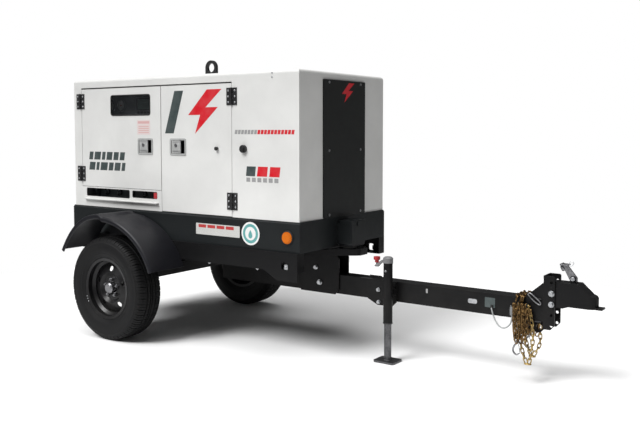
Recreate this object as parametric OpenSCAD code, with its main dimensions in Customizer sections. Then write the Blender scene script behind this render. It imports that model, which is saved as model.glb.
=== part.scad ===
// Towable diesel generator: a sound-proofed generator set on a single-axle trailer.
// Axes: +X towards the tow hitch, +Y to the trailer's left, +Z up.
// Origin: on the ground, at the centre of the whole outline.

/* [Overall] */
// Length from the tail lamps to the tip of the coupler
overall_len = 3730; // [3700:10:3780]

/* [Canopy] */
// Length of the sound-proof canopy
canopy_len = 2040; // [2030:5:2050]
// Width of the canopy
canopy_w = 960; // [950:5:970]
// Height of the canopy's foot above the ground
canopy_z = 850; // [850:1:855]
// Height of the roof above the ground
roof_z = 1755; // [1745:5:1770]
// Distance from the outline's centre to the canopy's front face
canopy_front = 230; // [226:2:234]
// Thickness of the sheet metal
sheet = 3; // [2.5:0.5:3.5]
// Depth of the folded edge round each door
door_fold = 28; // [20:2:28]
// Gap round each door
door_gap = 3; // [2.5:0.5:4]

/* [Trailer] */
// Height of the skid base, which holds the fuel
base_h = 185; // [180:1:185]
// Height of each frame rail
rail_h = 115; // [110:5:120]
// Width across the outside of the frame rails
rail_span = 1004; // [1000:2:1008]
// Width of the drawbar tube
drawbar_w = 100; // [96:2:104]
// Height of the drawbar tube
drawbar_h = 121; // [117:2:123]
// Height of the drawbar's underside
drawbar_z = 355; // [350:5:360]
// Width across the outside of the mudguards
fender_span = 1584; // [1570:2:1600]

/* [Wheels] */
// Outer diameter of each tyre
tyre_d = 690; // [686:2:694]
// Width of each tyre
tyre_w = 205; // [195:5:210]
// Diameter of the rim's bead seat
rim_d = 381; // [379:1:383]
// Distance between the middles of the two tyres
track = 1360; // [1355:5:1365]
// Distance of the wheel centres behind the outline's centre
axle_back = 1157; // [1150:1:1165]

/* [Hidden] */
$fn = 48;

// Overall outline
nose_x = overall_len / 2;
tail_x = -overall_len / 2;

// Canopy
canopy_rear = canopy_front - canopy_len;
side_y = canopy_w / 2;
cap_h = 59;
cap_z = roof_z - cap_h;
seam_x = -292;
split_x = -918;
post_x = canopy_rear + 80;
door_top = 1690;
control_sill = 990;
service_sill = canopy_z + 1;
frame_y = side_y - sheet - door_fold;
hinge_out = 7;
control_hinge_x = post_x - 8;
service_hinge_x = seam_x + 1;

// Skid base and frame
base_z = canopy_z - base_h;
base_front = canopy_front + 8;
base_rear = canopy_rear - 18;
base_y = side_y + 8;
rail_z = base_z - rail_h;
rail_out = rail_span / 2;
rail_flange = 67;
rail_in = rail_out - rail_flange;
rail_t = 7;
rail_rear = base_rear + 8;
cross_z = base_z - 65;
cross_front = canopy_front - 210;

// Drawbar
drawbar_y = drawbar_w / 2;
drawbar_top = drawbar_z + drawbar_h;
drawbar_front = nose_x - 308;
drawbar_rear = -760;

// Wheels
axle_x = -axle_back;
wheel_z = tyre_d / 2;
wheel_y = track / 2;
beam_x = axle_x + 147;
beam_z = 440;
fender_out = fender_span / 2;
fender_t = 4;

// Jack
jack_x = 628;
jack_y = -(drawbar_y + 74);
jack_pivot_z = 416;
jack_pivot_r = 16;
jack_tube_r = 28;
jack_bottom = 233;
jack_top = 600;
foot_t = 12;

// Hitch
channel_x = drawbar_front;
channel_front = nose_x - 245;
channel_z = 315;
channel_top = 610;
ball_r = 26;
ball_x = nose_x - 70;
hitch_holes_x = channel_front - 18;
hitch_holes_z = [338, 397, 456, 515, 574];
hitch_bolts_z = [hitch_holes_z[2], hitch_holes_z[3]];
latch_pivot = [nose_x - 161, 0, 600];

// Controls
panel_y = -385;
knob_z = 1400;
estop_x = -1090;
key_x = -1190;
breaker_x = -1400;
breaker_z = 1170;

// Engine
crank_z = 1110;
fan_x = -300;

// A block between two opposite corners
module block(low, high) {
    translate(low) cube(high - low);
}

// A cylinder along X from x0 to x1
module rod_x(x0, x1, y, z, r) {
    translate([x0, y, z]) rotate([0, 90, 0]) cylinder(h = x1 - x0, r = r);
}

// A cylinder along Y from y0 to y1
module rod_y(x, y0, y1, z, r) {
    translate([x, y1, z]) rotate([90, 0, 0]) cylinder(h = y1 - y0, r = r);
}

// A cylinder along Z from z0 to z1
module rod_z(x, y, z0, z1, r) {
    translate([x, y, z0]) cylinder(h = z1 - z0, r = r);
}

// Children drawn in the XZ plane and extruded from y0 to y1
module side_plate(y0, y1) {
    translate([0, y1, 0]) rotate([90, 0, 0]) linear_extrude(y1 - y0) children();
}

// Children drawn in the YZ plane and extruded from x0 to x1
module cross_plate(x0, x1) {
    translate([x0, 0, 0]) rotate([90, 0, 90]) linear_extrude(x1 - x0) children();
}

// The left-hand copy of a right-hand child, or the child itself
module on_side(side) {
    if (side > 0) mirror([0, 1, 0]) children();
    else children();
}

// A rectangle with rounded corners, between two opposite corners
module soft_rect(low, high, r) {
    translate(low + [0, r]) square(high - low - [0, 2 * r]);
    translate(low + [r, 0]) square(high - low - [2 * r, 0]);
    for (x = [low[0] + r, high[0] - r])
        for (y = [low[1] + r, high[1] - r]) translate([x, y]) circle(r);
}

// ---------------------------------------------------------------- trailer frame

// The drawbar: a rectangular tube, with drilled lugs that the safety chains hang from
module tongue_tube() {
    wall = 6;
    color([0.06, 0.06, 0.07]) {
        difference() {
            block([drawbar_rear, -drawbar_y, drawbar_z], [drawbar_front, drawbar_y, drawbar_top]);
            block([drawbar_rear - 1, wall - drawbar_y, drawbar_z + wall],
                [drawbar_front + 1, drawbar_y - wall, drawbar_top - wall]);
        }
        for (side = [-1, 1]) on_side(side) for (x = [chain_rear_x, chain_fore_x])
            difference() {
                union() {
                    rod_x(x - 12, x - 6, chain_y, chain_top_z, 14);
                    block([x - 12, chain_y, chain_top_z - 14],
                        [x - 6, -drawbar_y, chain_top_z + 14]);
                }
                rod_x(x - 13, x - 5, chain_y, chain_top_z, chain_pin_r + 0.05);
            }
    }
}

// The right-hand rail: a channel, with a deeper tie-down plate at its front corner
module rail(tie_down) {
    slot_x = canopy_front - 100;
    slot_z = 575;
    difference() {
        union() {
            block([rail_rear, -rail_out, rail_z], [canopy_front, rail_t - rail_out, base_z]);
            for (z = [rail_z, base_z - rail_t])
                block([rail_rear, -rail_out, z], [canopy_front, -rail_in, z + rail_t]);
            block([canopy_front - rail_t, -rail_out, rail_z], [canopy_front, -rail_in, base_z]);
            if (tie_down) {
                side_plate(-rail_out, rail_t - rail_out) polygon([[canopy_front, rail_z + 1],
                    [canopy_front, rail_z - 58], [canopy_front - 150, rail_z - 58],
                    [canopy_front - 260, rail_z + 1]]);
            }
        }
        side_plate(-rail_out - 1, rail_t - rail_out + 1)
            soft_rect([slot_x - 19, slot_z - 14], [slot_x + 19, slot_z + 32], 12);
    }
}

module rail_right() {
    color([0.06, 0.06, 0.07]) rail(true);
}

module rail_left() {
    color([0.06, 0.06, 0.07]) mirror([0, 1, 0]) rail(false);
}

// Cross channels between the rails, and the rear bar that carries the tail lamps
module crossmembers() {
    wall = 5;
    color([0.06, 0.06, 0.07]) {
        for (x = [rail_rear, -1240, -760, cross_front - 80])
            difference() {
                block([x, -rail_in, cross_z], [x + 80, rail_in, base_z]);
                block([x + wall, -rail_in - 1, cross_z - 1],
                    [x + 80 - wall, rail_in + 1, base_z - wall]);
            }
        for (side = [-1, 1]) block([-750, side * 40 - 10, drawbar_top],
            [-690, side * 40 + 10, cross_z]);
        block([tail_x + 20, -450, 566], [tail_x + 25, 450, 646]);
        for (side = [-1, 1])
            block([tail_x + 25, side * 425 - 20, cross_z + 5], [rail_rear, side * 425 + 20, cross_z + 40]);
    }
}

// Side plates that hang the drawbar from the frame, and the braces that meet in front of it
module draw_frame() {
    plate_t = 10;
    apex_x = canopy_front + 151;
    brace_z = base_z - 53;
    reach = 290;
    color([0.06, 0.06, 0.07]) {
        for (side = [0, 1]) mirror([0, side, 0]) {
            difference() {
                side_plate(-drawbar_y - plate_t, -drawbar_y) polygon([[-70, drawbar_z - 6],
                    [canopy_front - 30, drawbar_z - 6], [canopy_front, drawbar_z + 30],
                    [canopy_front, cross_z - 20], [canopy_front - 20, cross_z], [-70, cross_z]]);
                rod_y(83, -drawbar_y - 20, -drawbar_y + 1, drawbar_z + drawbar_h / 2, 9);
                rod_y(52, -drawbar_y - 20, -drawbar_y + 1, 510, 9);
            }
            translate([0, 0, brace_z]) linear_extrude(40) polygon([[cross_front, -reach - 30],
                [cross_front, -reach + 45], [apex_x - 55, -20], [apex_x - 55, 0], [apex_x, 0],
                [apex_x, -40], [apex_x - 15, -58]]);
        }
    }
}

module axle_beam() {
    wall = 6;
    end_y = 545;
    color([0.09, 0.09, 0.1]) {
        difference() {
            block([beam_x - 40, -end_y, beam_z - 40], [beam_x + 40, end_y, beam_z + 40]);
            block([beam_x - 34, -end_y - 1, beam_z - 34], [beam_x + 34, end_y + 1, beam_z + 34]);
        }
        for (side = [-1, 1]) {
            difference() {
                block([beam_x - 110, side * 468 - 33, beam_z + 40],
                    [beam_x + 110, side * 468 + 33, rail_z]);
                block([beam_x - 102, side * 468 - 34, beam_z + 48],
                    [beam_x + 102, side * 468 + 34, rail_z - 8]);
            }
            difference() {
                block([beam_x - 34, side * 520 - 25, beam_z - 34],
                    [beam_x + 34, side * 520 + 25, beam_z + 34]);
                rod_y(beam_x, side * 520 - 26, side * 520 + 26, beam_z, 22.05);
            }
        }
    }
}

// The right-hand trailing arm: it turns in the axle beam's end, and carries the wheel's spindle
module torsion_arm() {
    arm_y = -568;
    color([0.12, 0.12, 0.13]) {
        hull() {
            rod_y(beam_x, arm_y, arm_y + 20, beam_z, 38);
            rod_y(axle_x, arm_y, arm_y + 20, wheel_z, 34);
        }
        rod_y(axle_x, -wheel_y - 6, arm_y + 1, wheel_z, 20);
        rod_y(beam_x, arm_y + 19, -500, beam_z, 22);
    }
}

module torsion_arm_right() {
    torsion_arm();
}

module torsion_arm_left() {
    mirror([0, 1, 0]) torsion_arm();
}

// ---------------------------------------------------------------- wheels

// Half of the tyre's section, from the tread's middle to the bead
module tyre_section() {
    outer = tyre_d / 2;
    seat = rim_d / 2;
    half = tyre_w / 2;
    bead = 76;
    difference() {
        union() {
            translate([seat + 0.3, -bead]) square([40, 2 * bead]);
            translate([seat + 56, -half]) square([outer - seat - 86, 2 * half]);
            translate([seat + 22, -bead]) square([60, 2 * bead]);
            translate([outer - 31, -half + 30]) square([31, 2 * half - 60]);
            for (side = [-1, 1]) translate([outer - 30.5, side * (half - 30)]) circle(30);
            for (side = [-1, 1]) translate([seat + 56, side * (half - 34)]) circle(34);
        }
        translate([seat - 20, -half + 40]) square([outer - seat - 6, 2 * half - 80]);
        for (side = [-1, 1]) translate([seat + 90, side * (half - 48)]) circle(34);
        for (y = [-45, -15, 15, 45]) translate([outer - 7, y - 2.5]) square([9, 5]);
    }
}

module tyre() {
    color([0.05, 0.05, 0.05]) translate([axle_x, -wheel_y, wheel_z]) rotate([90, 0, 0])
        rotate_extrude($fn = 96) tyre_section();
}

// The steel disc wheel: well, flanges and a dished disc with five round vents
module rim() {
    seat = rim_d / 2;
    bolt_r = 57;
    vent_r = 128;
    color([0.1, 0.1, 0.11]) translate([axle_x, -wheel_y, wheel_z]) rotate([90, 0, 0])
        difference() {
            rotate_extrude($fn = 96) polygon([[seat + 14, 84], [seat + 14, 79], [seat, 76],
                [seat, 45], [seat - 18, 30], [seat - 18, -40], [seat, -60], [seat, -76],
                [seat + 14, -79], [seat + 14, -84], [seat - 6, -80], [seat - 6, -62],
                [seat - 24, -42], [seat - 24, 12], [105, 42], [86, 22], [42, 22], [42, 28],
                [82, 28], [103, 49], [seat - 24, 20], [seat - 24, 32], [seat - 6, 47],
                [seat - 6, 80]]);
            for (i = [0:4]) rotate([0, 0, 90 + 72 * i]) {
                translate([vent_r, 0, 0]) cylinder(h = 90, r = 17);
                translate([bolt_r, 0, 0]) cylinder(h = 90, r = 7.5);
            }
        }
}

// Hub, bearing cap and five wheel studs with their nuts
module hub() {
    bolt_r = 57;
    color([0.6, 0.6, 0.62]) translate([axle_x, -wheel_y, wheel_z]) rotate([90, 0, 0]) {
        difference() {
            union() {
                translate([0, 0, -70]) cylinder(h = 82, r = 38);
                translate([0, 0, 10]) cylinder(h = 11.5, r = 74);
                translate([0, 0, 21]) cylinder(h = 40, r = 36);
                translate([0, 0, 61]) cylinder(h = 8, r1 = 36, r2 = 28, $fn = 64);
            }
            translate([0, 0, -71]) cylinder(h = 78, r = 20.05);
        }
        for (i = [0:4]) rotate([0, 0, 90 + 72 * i]) translate([bolt_r, 0, 0]) {
            translate([0, 0, 28.5]) cylinder(h = 17, r = 11, $fn = 6);
            translate([0, 0, 21]) cylinder(h = 32, r = 6);
        }
    }
}

module tyre_right() { tyre(); }
module tyre_left() { mirror([0, 1, 0]) tyre(); }
module rim_right() { rim(); }
module rim_left() { mirror([0, 1, 0]) rim(); }
module hub_right() { hub(); }
module hub_left() { mirror([0, 1, 0]) hub(); }

// ---------------------------------------------------------------- mudguards

// The arch's outline as points round the wheel, pushed in by a distance
function arch_r(a) = 487 + 26 * pow(sin(2 * (a - 62)), 2) * (a > 90 ? 1 : 0.35);
function arch(inset) = [for (a = [150:-7:20])
    [axle_x - 6 + (arch_r(a) - inset) * cos(a), 333 + (arch_r(a) - inset) * sin(a)]];
function reversed(list) = [for (i = [len(list) - 1:-1:0]) list[i]];

// The right-hand mudguard: a rolled top, a turned-down outer lip and an inner mounting plate
module fender() {
    lip = 34;
    color([0.07, 0.07, 0.08]) {
        side_plate(-fender_out, -rail_out - 1)
            polygon(concat(arch(0), reversed(arch(fender_t))));
        side_plate(-fender_out, -fender_out + fender_t)
            polygon(concat(arch(0), reversed(arch(lip))));
        side_plate(-rail_out - 1 - fender_t, -rail_out - 1) intersection() {
            polygon(concat(arch(0), reversed(arch(260))));
            translate([axle_x - 260, rail_z + 25]) square([520, 300]);
        }
    }
}

module fender_right() { fender(); }
module fender_left() { mirror([0, 1, 0]) fender(); }

// ---------------------------------------------------------------- lamps

// Tail lamp clusters on the rear bar, and round amber side markers on the skid base
module lamps() {
    for (side = [-1, 1]) {
        color([0.7, 0.05, 0.05]) cross_plate(tail_x, tail_x + 20)
            soft_rect([side * 360 - 70, 574], [side * 360 + 70, 638], 12);
        color([0.95, 0.5, 0.05]) on_side(side) {
            rod_y(canopy_front - 80, -base_y - 12, -base_y, 755, 36);
            rod_y(canopy_front - 80, -base_y - 16, -base_y - 12, 755, 28);
        }
    }
}

// ---------------------------------------------------------------- hitch

module hitch_channel() {
    plate_t = 8;
    half = drawbar_y + 2;
    color([0.06, 0.06, 0.07]) {
        difference() {
            union() {
                block([channel_x, -half, channel_z], [channel_x + plate_t, half, channel_top]);
                for (side = [0, 1]) mirror([0, side, 0]) side_plate(-half, plate_t - half)
                    polygon([[channel_x, channel_z], [channel_front - 22, channel_z],
                        [channel_front, channel_z + 25], [channel_front, channel_top - 6],
                        [channel_front - 6, channel_top], [channel_x, channel_top]]);
            }
            for (z = hitch_holes_z) rod_y(hitch_holes_x, -half - 1, half + 1, z, 8.5);
        }
        for (side = [0, 1]) mirror([0, side, 0]) side_plate(-drawbar_y, plate_t - drawbar_y)
            polygon([[channel_x - 104, drawbar_top], [channel_x - 104, drawbar_top + 6],
                [channel_x, drawbar_top + 96], [channel_x, drawbar_top]]);
        difference() {
            side_plate(-5, 5) polygon([[channel_x - 120, drawbar_z], [channel_x, drawbar_z],
                [channel_x, channel_z], [channel_x - 30, channel_z - 32],
                [channel_x - 78, channel_z - 32], [channel_x - 120, drawbar_z - 30]]);
            rod_y(channel_x - 37, -6, 6, 314, 18);
        }
    }
}

// The ball coupler: a hollow pressed cover with a rounded nose over the ball socket
module coupler() {
    half = drawbar_y - 7;
    wall = 5;
    back_x = channel_x + 12;
    front_x = ball_x + half;
    low = 451;
    high = 578;
    heel = low - 11;
    color([0.06, 0.06, 0.07]) difference() {
        union() {
            intersection() {
                side_plate(-half, half) polygon([[back_x, heel], [channel_front + 40, heel],
                    [channel_front + 70, low], [front_x, low], [front_x, 506],
                    [front_x - 15, 517], [front_x - 34, 522], [front_x - 97, high],
                    [back_x, high]]);
                union() {
                    block([back_x, -half, heel], [ball_x, half, high]);
                    rod_z(ball_x, 0, heel, high, half);
                }
            }
            block([nose_x - 60, -30, low], [nose_x, 30, low + 9]);
        }
        block([back_x - 1, wall - half, heel - 1], [ball_x - 57, half - wall, high - wall]);
        translate([ball_x, 0, low + 16]) sphere(r = ball_r);
        rod_z(ball_x, 0, low - 1, low + 16, ball_r);
        for (z = hitch_bolts_z) rod_y(hitch_holes_x, -60, 60, z, 8.5);
        block([latch_pivot[0] - 30, -7, high - 50], [latch_pivot[0] + 30, 7, high + 1]);
    }
    color([0.06, 0.06, 0.07]) for (side = [-1, 1]) difference() {
        block([latch_pivot[0] - 12, side * 13 - 4, high - 1],
            [latch_pivot[0] + 12, side * 13 + 4, latch_pivot[2] + 12]);
        rod_y(latch_pivot[0], -20, 20, latch_pivot[2], 7.05);
    }
}

// The lever on top of the coupler that locks the ball
module coupler_latch() {
    color([0.25, 0.25, 0.27]) {
        side_plate(-6, 6) polygon([[latch_pivot[0] - 16, 583], [latch_pivot[0] + 20, 583],
            [latch_pivot[0] + 20, 606], [latch_pivot[0] - 32, 670],
            [latch_pivot[0] - 58, 670], [latch_pivot[0] - 52, 650]]);
        block([latch_pivot[0] - 64, -22, 670], [latch_pivot[0] - 24, 22, 676]);
        rod_y(latch_pivot[0], -20, 20, latch_pivot[2], 7);
    }
}

// Links of 7 mm chain hung as a narrow loop beside the drawbar
wire = 7;
link_l = 42;
link_w = 24;
link_pitch = 27;
links = 12;
chain_pin_r = 4.5;
chain_top_z = 437;
chain_y = -(drawbar_y + 30);
chain_rear_x = nose_x - 428;
chain_fore_x = nose_x - 376;
chain_in_rear = 9;
chain_in_fore = -8;

module chain_link() {
    side_plate(-wire / 2, wire / 2) difference() {
        soft_rect([-link_w / 2, -link_l / 2], [link_w / 2, link_l / 2], link_w / 2 - 0.01);
        soft_rect([wire - link_w / 2, wire - link_l / 2], [link_w / 2 - wire, link_l / 2 - wire],
            link_w / 2 - wire - 0.01);
    }
}

// One strand of links from its lug down to the loop's lowest link
module strand(x, inward) {
    lean = atan(inward / (links * link_pitch));
    for (i = [0:links - 1])
        translate([x + inward * (i + 0.5) / links, chain_y, chain_top_z - 9 - link_pitch * i])
            rotate([0, -lean, 0]) rotate([0, 0, 90 * (1 - i % 2)]) chain_link();
    rod_x(x - 16, x + 8, chain_y, chain_top_z, chain_pin_r);
}

module chain() {
    mid_x = (chain_rear_x + chain_in_rear + chain_fore_x + chain_in_fore) / 2;
    color([0.75, 0.6, 0.25]) {
        strand(chain_rear_x, chain_in_rear);
        strand(chain_fore_x, chain_in_fore);
        translate([mid_x, chain_y, chain_top_z - 18 - link_pitch * (links - 1)])
            rotate([90, 0, 0]) rotate([0, 90, 0]) chain_link();
    }
}

module chain_right() { chain(); }
module chain_left() { mirror([0, 1, 0]) chain(); }

// ---------------------------------------------------------------- jack

// The plate bolted to the drawbar's right side, with the pin that the jack swivels on
module jack_mount() {
    plate_t = 10;
    color([0.06, 0.06, 0.07]) {
        side_plate(-drawbar_y - plate_t, -drawbar_y) polygon([[jack_x - 183, drawbar_z],
            [jack_x - 113, drawbar_z - 33], [jack_x - 10, drawbar_z - 33],
            [jack_x + 20, drawbar_z - 4], [jack_x + 20, drawbar_top],
            [jack_x - 183, drawbar_top]]);
        rod_y(jack_x, jack_y + jack_tube_r + 2, -drawbar_y - plate_t, jack_pivot_z,
            jack_pivot_r);
    }
}

// The jack's outer tube with its swivel collar
module jack_tube() {
    color([0.06, 0.06, 0.07]) difference() {
        union() {
            rod_z(jack_x, jack_y, jack_bottom, jack_top, jack_tube_r);
            rod_y(jack_x, jack_y, -drawbar_y - 14, jack_pivot_z, jack_pivot_r + 11);
        }
        rod_z(jack_x, jack_y, jack_bottom - 1, jack_top - 12, 22.05);
        rod_y(jack_x, jack_y + jack_tube_r, -drawbar_y - 9, jack_pivot_z, jack_pivot_r + 0.05);
    }
}

module jack_leg() {
    foot = [70, 58];
    color([0.62, 0.63, 0.65]) {
        difference() {
            rod_z(jack_x, jack_y, foot_t, jack_bottom + 150, 22);
            rod_z(jack_x, jack_y, foot_t + 20, jack_bottom + 151, 18);
        }
        linear_extrude(foot_t)
            soft_rect([jack_x, jack_y] - foot, [jack_x, jack_y] + foot, 14);
    }
}

// Gear cap with a cranked arm and its grip
module jack_handle() {
    arm = 78;
    color([0.62, 0.63, 0.65]) {
        rod_z(jack_x, jack_y, jack_top + 0.5, jack_top + 30, 30);
        translate([jack_x, jack_y, jack_top + 30]) cylinder(h = 8, r1 = 30, r2 = 20, $fn = 64);
        block([jack_x - 40, jack_y - 9, jack_top + 8], [jack_x - 20, jack_y + 9, jack_top + 16]);
        side_plate(jack_y - 9, jack_y + 9) polygon([[jack_x - 32, jack_top + 16],
            [jack_x - 40, jack_top + 16], [jack_x - arm - 12, jack_top - 20],
            [jack_x - arm - 12, jack_top - 28], [jack_x - arm + 12, jack_top - 28],
            [jack_x - arm + 16, jack_top - 22], [jack_x - 32, jack_top + 8]]);
        rod_z(jack_x - arm, jack_y, jack_top - 22, jack_top - 2, 6);
    }
    color([0.6, 0.12, 0.12]) {
        rod_z(jack_x - arm, jack_y, jack_top - 2, jack_top + 14, 12);
        rod_z(jack_x - arm, jack_y, jack_top + 14, jack_top + 32, 20);
    }
}

// ---------------------------------------------------------------- lighting lead

lead_r = 4;
lead_y = -(drawbar_y + 24);
// The lead leaves the drawbar's side, hangs in a bight and comes up to its plug
lead_route = [[1262, -drawbar_y, 405], [1264, lead_y + 10, 403], [1270, lead_y, 392],
    [1280, lead_y, 360], [1296, lead_y, 326], [1318, lead_y, 302], [1340, lead_y, 296],
    [1362, lead_y, 304], [1380, lead_y, 324], [1388, lead_y, 350], [1390, lead_y, 372]];
lead_sides = 8;
lead_steps = 3;

// A smooth curve through the route's points
function clamp_i(i) = max(0, min(len(lead_route) - 1, i));
function spline(i, t) =
    let (a = lead_route[clamp_i(i - 1)], b = lead_route[i],
        c = lead_route[clamp_i(i + 1)], d = lead_route[clamp_i(i + 2)])
    0.5 * (2 * b + (c - a) * t + (2 * a - 5 * b + 4 * c - d) * t * t
        + (3 * b - a - 3 * c + d) * t * t * t);
lead_line = concat([for (i = [0:len(lead_route) - 2]) for (s = [0:lead_steps - 1])
    spline(i, s / lead_steps)], [lead_route[len(lead_route) - 1]]);
lead_last = len(lead_line) - 1;
function unit(v) = v / norm(v);
// The first ring faces the drawbar and the last faces the plug
function lead_dir(i) = i == 0 ? [0, -1, 0]
    : i == lead_last ? [0, 0, 1] : unit(lead_line[i + 1] - lead_line[i - 1]);
function lead_side(i) = unit(cross(lead_dir(i), [1, -0.35, 0.1]));
function lead_up(i) = cross(lead_side(i), lead_dir(i));

module light_lead() {
    rings = [for (i = [0:lead_last]) for (k = [0:lead_sides - 1])
        let (a = 360 * k / lead_sides)
        lead_line[i] + lead_r * (cos(a) * lead_side(i) + sin(a) * lead_up(i))];
    walls = [for (i = [0:lead_last - 1]) for (k = [0:lead_sides - 1])
        let (next = (k + 1) % lead_sides, n = lead_sides)
        [i * n + k, i * n + next, (i + 1) * n + next, (i + 1) * n + k]];
    ends = [[for (k = [lead_sides - 1:-1:0]) k],
        [for (k = [0:lead_sides - 1]) lead_last * lead_sides + k]];
    color([0.75, 0.76, 0.76]) polyhedron(rings, concat(walls, ends));
}

// The flat four-way plug, held in a clip on the drawbar's side
module light_plug() {
    color([0.7, 0.71, 0.7]) {
        block([1379, lead_y - 9, 372], [1401, lead_y + 9, 420]);
        rod_z(1384, lead_y, 420, 430, 4);
        rod_z(1396, lead_y, 420, 430, 4);
        block([1382, lead_y + 9, 380], [1398, -drawbar_y, 396]);
    }
}

// ---------------------------------------------------------------- skid base and fuel

filler_x = canopy_front - 430;
filler_y = base_y;
filler_z = 770;

// The bunded base: a closed tank with a chamfered top edge and a filler neck on the left
module skid_base() {
    wall = 4;
    edge = 12;
    color([0.06, 0.06, 0.07]) difference() {
        union() {
            cross_plate(base_rear, base_front) polygon([[-base_y, base_z], [base_y, base_z],
                [base_y, canopy_z - edge], [base_y - edge, canopy_z], [edge - base_y, canopy_z],
                [-base_y, canopy_z - edge]]);
            rod_y(filler_x, filler_y - 1, filler_y + 22, filler_z, 38);
        }
        block([base_rear + wall, wall - base_y, base_z + wall],
            [base_front - wall, base_y - wall, canopy_z - edge - wall]);
        rod_y(filler_x, filler_y - 10, filler_y + 23, filler_z, 30);
    }
}

module fuel_cap() {
    color([0.08, 0.08, 0.08]) difference() {
        union() {
            rod_y(filler_x, filler_y + 22.5, filler_y + 44, filler_z, 44);
            rod_y(filler_x, filler_y + 4, filler_y + 23, filler_z, 29.95);
            block([filler_x - 34, filler_y + 43, filler_z - 7],
                [filler_x + 34, filler_y + 58, filler_z + 7]);
        }
        rod_y(filler_x, filler_y + 3, filler_y + 30, filler_z, 24);
    }
}

// The rounded document box on the base's front, open at its top
box_y0 = -93;
box_y1 = 60;
box_low = 670;
box_high = 812;
box_front = base_front + 112;
lid_pin_x = base_front + 16;
lid_pin_z = box_high + 11;

module document_box() {
    wall = 3;
    color([0.07, 0.07, 0.08]) difference() {
        cross_plate(base_front, box_front) soft_rect([box_y0, box_low], [box_y1, box_high + 20], 20);
        cross_plate(base_front + wall, box_front - wall)
            soft_rect([box_y0 + wall, box_low + wall], [box_y1 - wall, box_high + 40], 17);
        block([base_front - 1, box_y0 - 1, box_high], [box_front + 1, box_y1 + 1, box_high + 60]);
    }
    color([0.07, 0.07, 0.08]) for (y = [box_y0 + 20, box_y1 - 32]) difference() {
        block([base_front, y, box_high - 6], [lid_pin_x + 5, y + 12, lid_pin_z + 5]);
        rod_y(lid_pin_x, y - 1, y + 13, lid_pin_z, 3.05);
    }
}

module document_lid() {
    color([0.09, 0.09, 0.1]) {
        difference() {
            block([base_front + 23, box_y0 - 3, box_high + 0.5],
                [box_front + 3, box_y1 + 3, box_high + 20]);
            block([base_front + 20, box_y0 - 0.5, box_high - 1],
                [box_front + 0.5, box_y1 + 0.5, box_high + 15]);
        }
        rod_y(lid_pin_x, box_y0 + 16, box_y1 - 16, lid_pin_z, 3);
        rod_y(lid_pin_x, box_y0 + 34, box_y1 - 34, lid_pin_z, 5);
        block([lid_pin_x, box_y0 + 34, lid_pin_z - 1], [base_front + 25, box_y1 - 34, lid_pin_z + 5]);
        block([box_front + 2, -35, box_high - 14], [box_front + 7, 2, box_high + 12]);
    }
}

// ---------------------------------------------------------------- canopy

// A pan: a flat skin on the right-hand side with its edges folded inwards
module pan(x0, x1, z0, z1, fold) {
    block([x0, -side_y, z0], [x1, sheet - side_y, z1]);
    for (x = [x0, x1 - sheet]) block([x, -side_y, z0], [x + sheet, sheet + fold - side_y, z1]);
    for (z = [z0, z1 - sheet]) block([x0, -side_y, z], [x1, sheet + fold - side_y, z + sheet]);
}

// The roof cap: a shallow tray with rounded edges, with hot-air slots at its front
module roof() {
    r = 22;
    color([0.86, 0.86, 0.84]) difference() {
        intersection() {
            cross_plate(canopy_rear, canopy_front) union() {
                soft_rect([-side_y, cap_z], [side_y, roof_z], r);
                translate([-side_y, cap_z]) square([canopy_w, r]);
            }
            side_plate(-side_y, side_y) union() {
                soft_rect([canopy_rear, cap_z], [canopy_front, roof_z], r);
                translate([canopy_rear, cap_z]) square([canopy_len, r]);
            }
        }
        block([canopy_rear + sheet, sheet - side_y, cap_z - 1],
            [canopy_front - sheet, side_y - sheet, roof_z - 26]);
        block([canopy_rear + 24, 24 - side_y, roof_z - 27],
            [canopy_front - 24, side_y - 24, roof_z - sheet]);
        for (i = [0:7]) block([canopy_front - 70 - 32 * i, -300, roof_z - 30],
            [canopy_front - 54 - 32 * i, 300, roof_z + 1]);
    }
}

// The front wall with its corner returns, open behind the access panel
module front_wall() {
    return = 60;
    color([0.86, 0.86, 0.84]) difference() {
        union() {
            block([canopy_front - sheet, -side_y, canopy_z], [canopy_front, side_y, cap_z]);
            for (side = [0, 1]) mirror([0, side, 0]) block([canopy_front - return,
                -side_y, canopy_z], [canopy_front, sheet - side_y, cap_z]);
        }
        block([canopy_front - sheet - 1, -200, canopy_z + 60],
            [canopy_front + 1, 200, cap_z - 60]);
    }
}

// The rear wall with eight rows of air-intake louvres
module rear_wall() {
    color([0.86, 0.86, 0.84]) {
        difference() {
            union() {
                block([canopy_rear, -side_y, canopy_z], [canopy_rear + sheet, side_y, cap_z]);
                for (side = [0, 1]) mirror([0, side, 0]) block([canopy_rear, -side_y, canopy_z],
                    [canopy_rear + 50, sheet - side_y, cap_z]);
            }
            for (i = [0:7]) block([canopy_rear - 1, -320, 1010 + 62 * i],
                [canopy_rear + sheet + 1, 320, 1034 + 62 * i]);
        }
        for (i = [0:7]) translate([canopy_rear, 0, 1034 + 62 * i]) side_plate(-320, 320)
            polygon([[0, 0], [-16, -22], [-16, -24], [-14, -24], [3, -1], [3, 0]]);
    }
}

// The fixed front panel on the right
module panel_right() {
    color([0.86, 0.86, 0.84]) {
        block([seam_x, -side_y, canopy_z], [canopy_front - 60, sheet - side_y, cap_z]);
        block([seam_x, -side_y, canopy_z], [seam_x + sheet, -frame_y + 10, cap_z]);
    }
}

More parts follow.
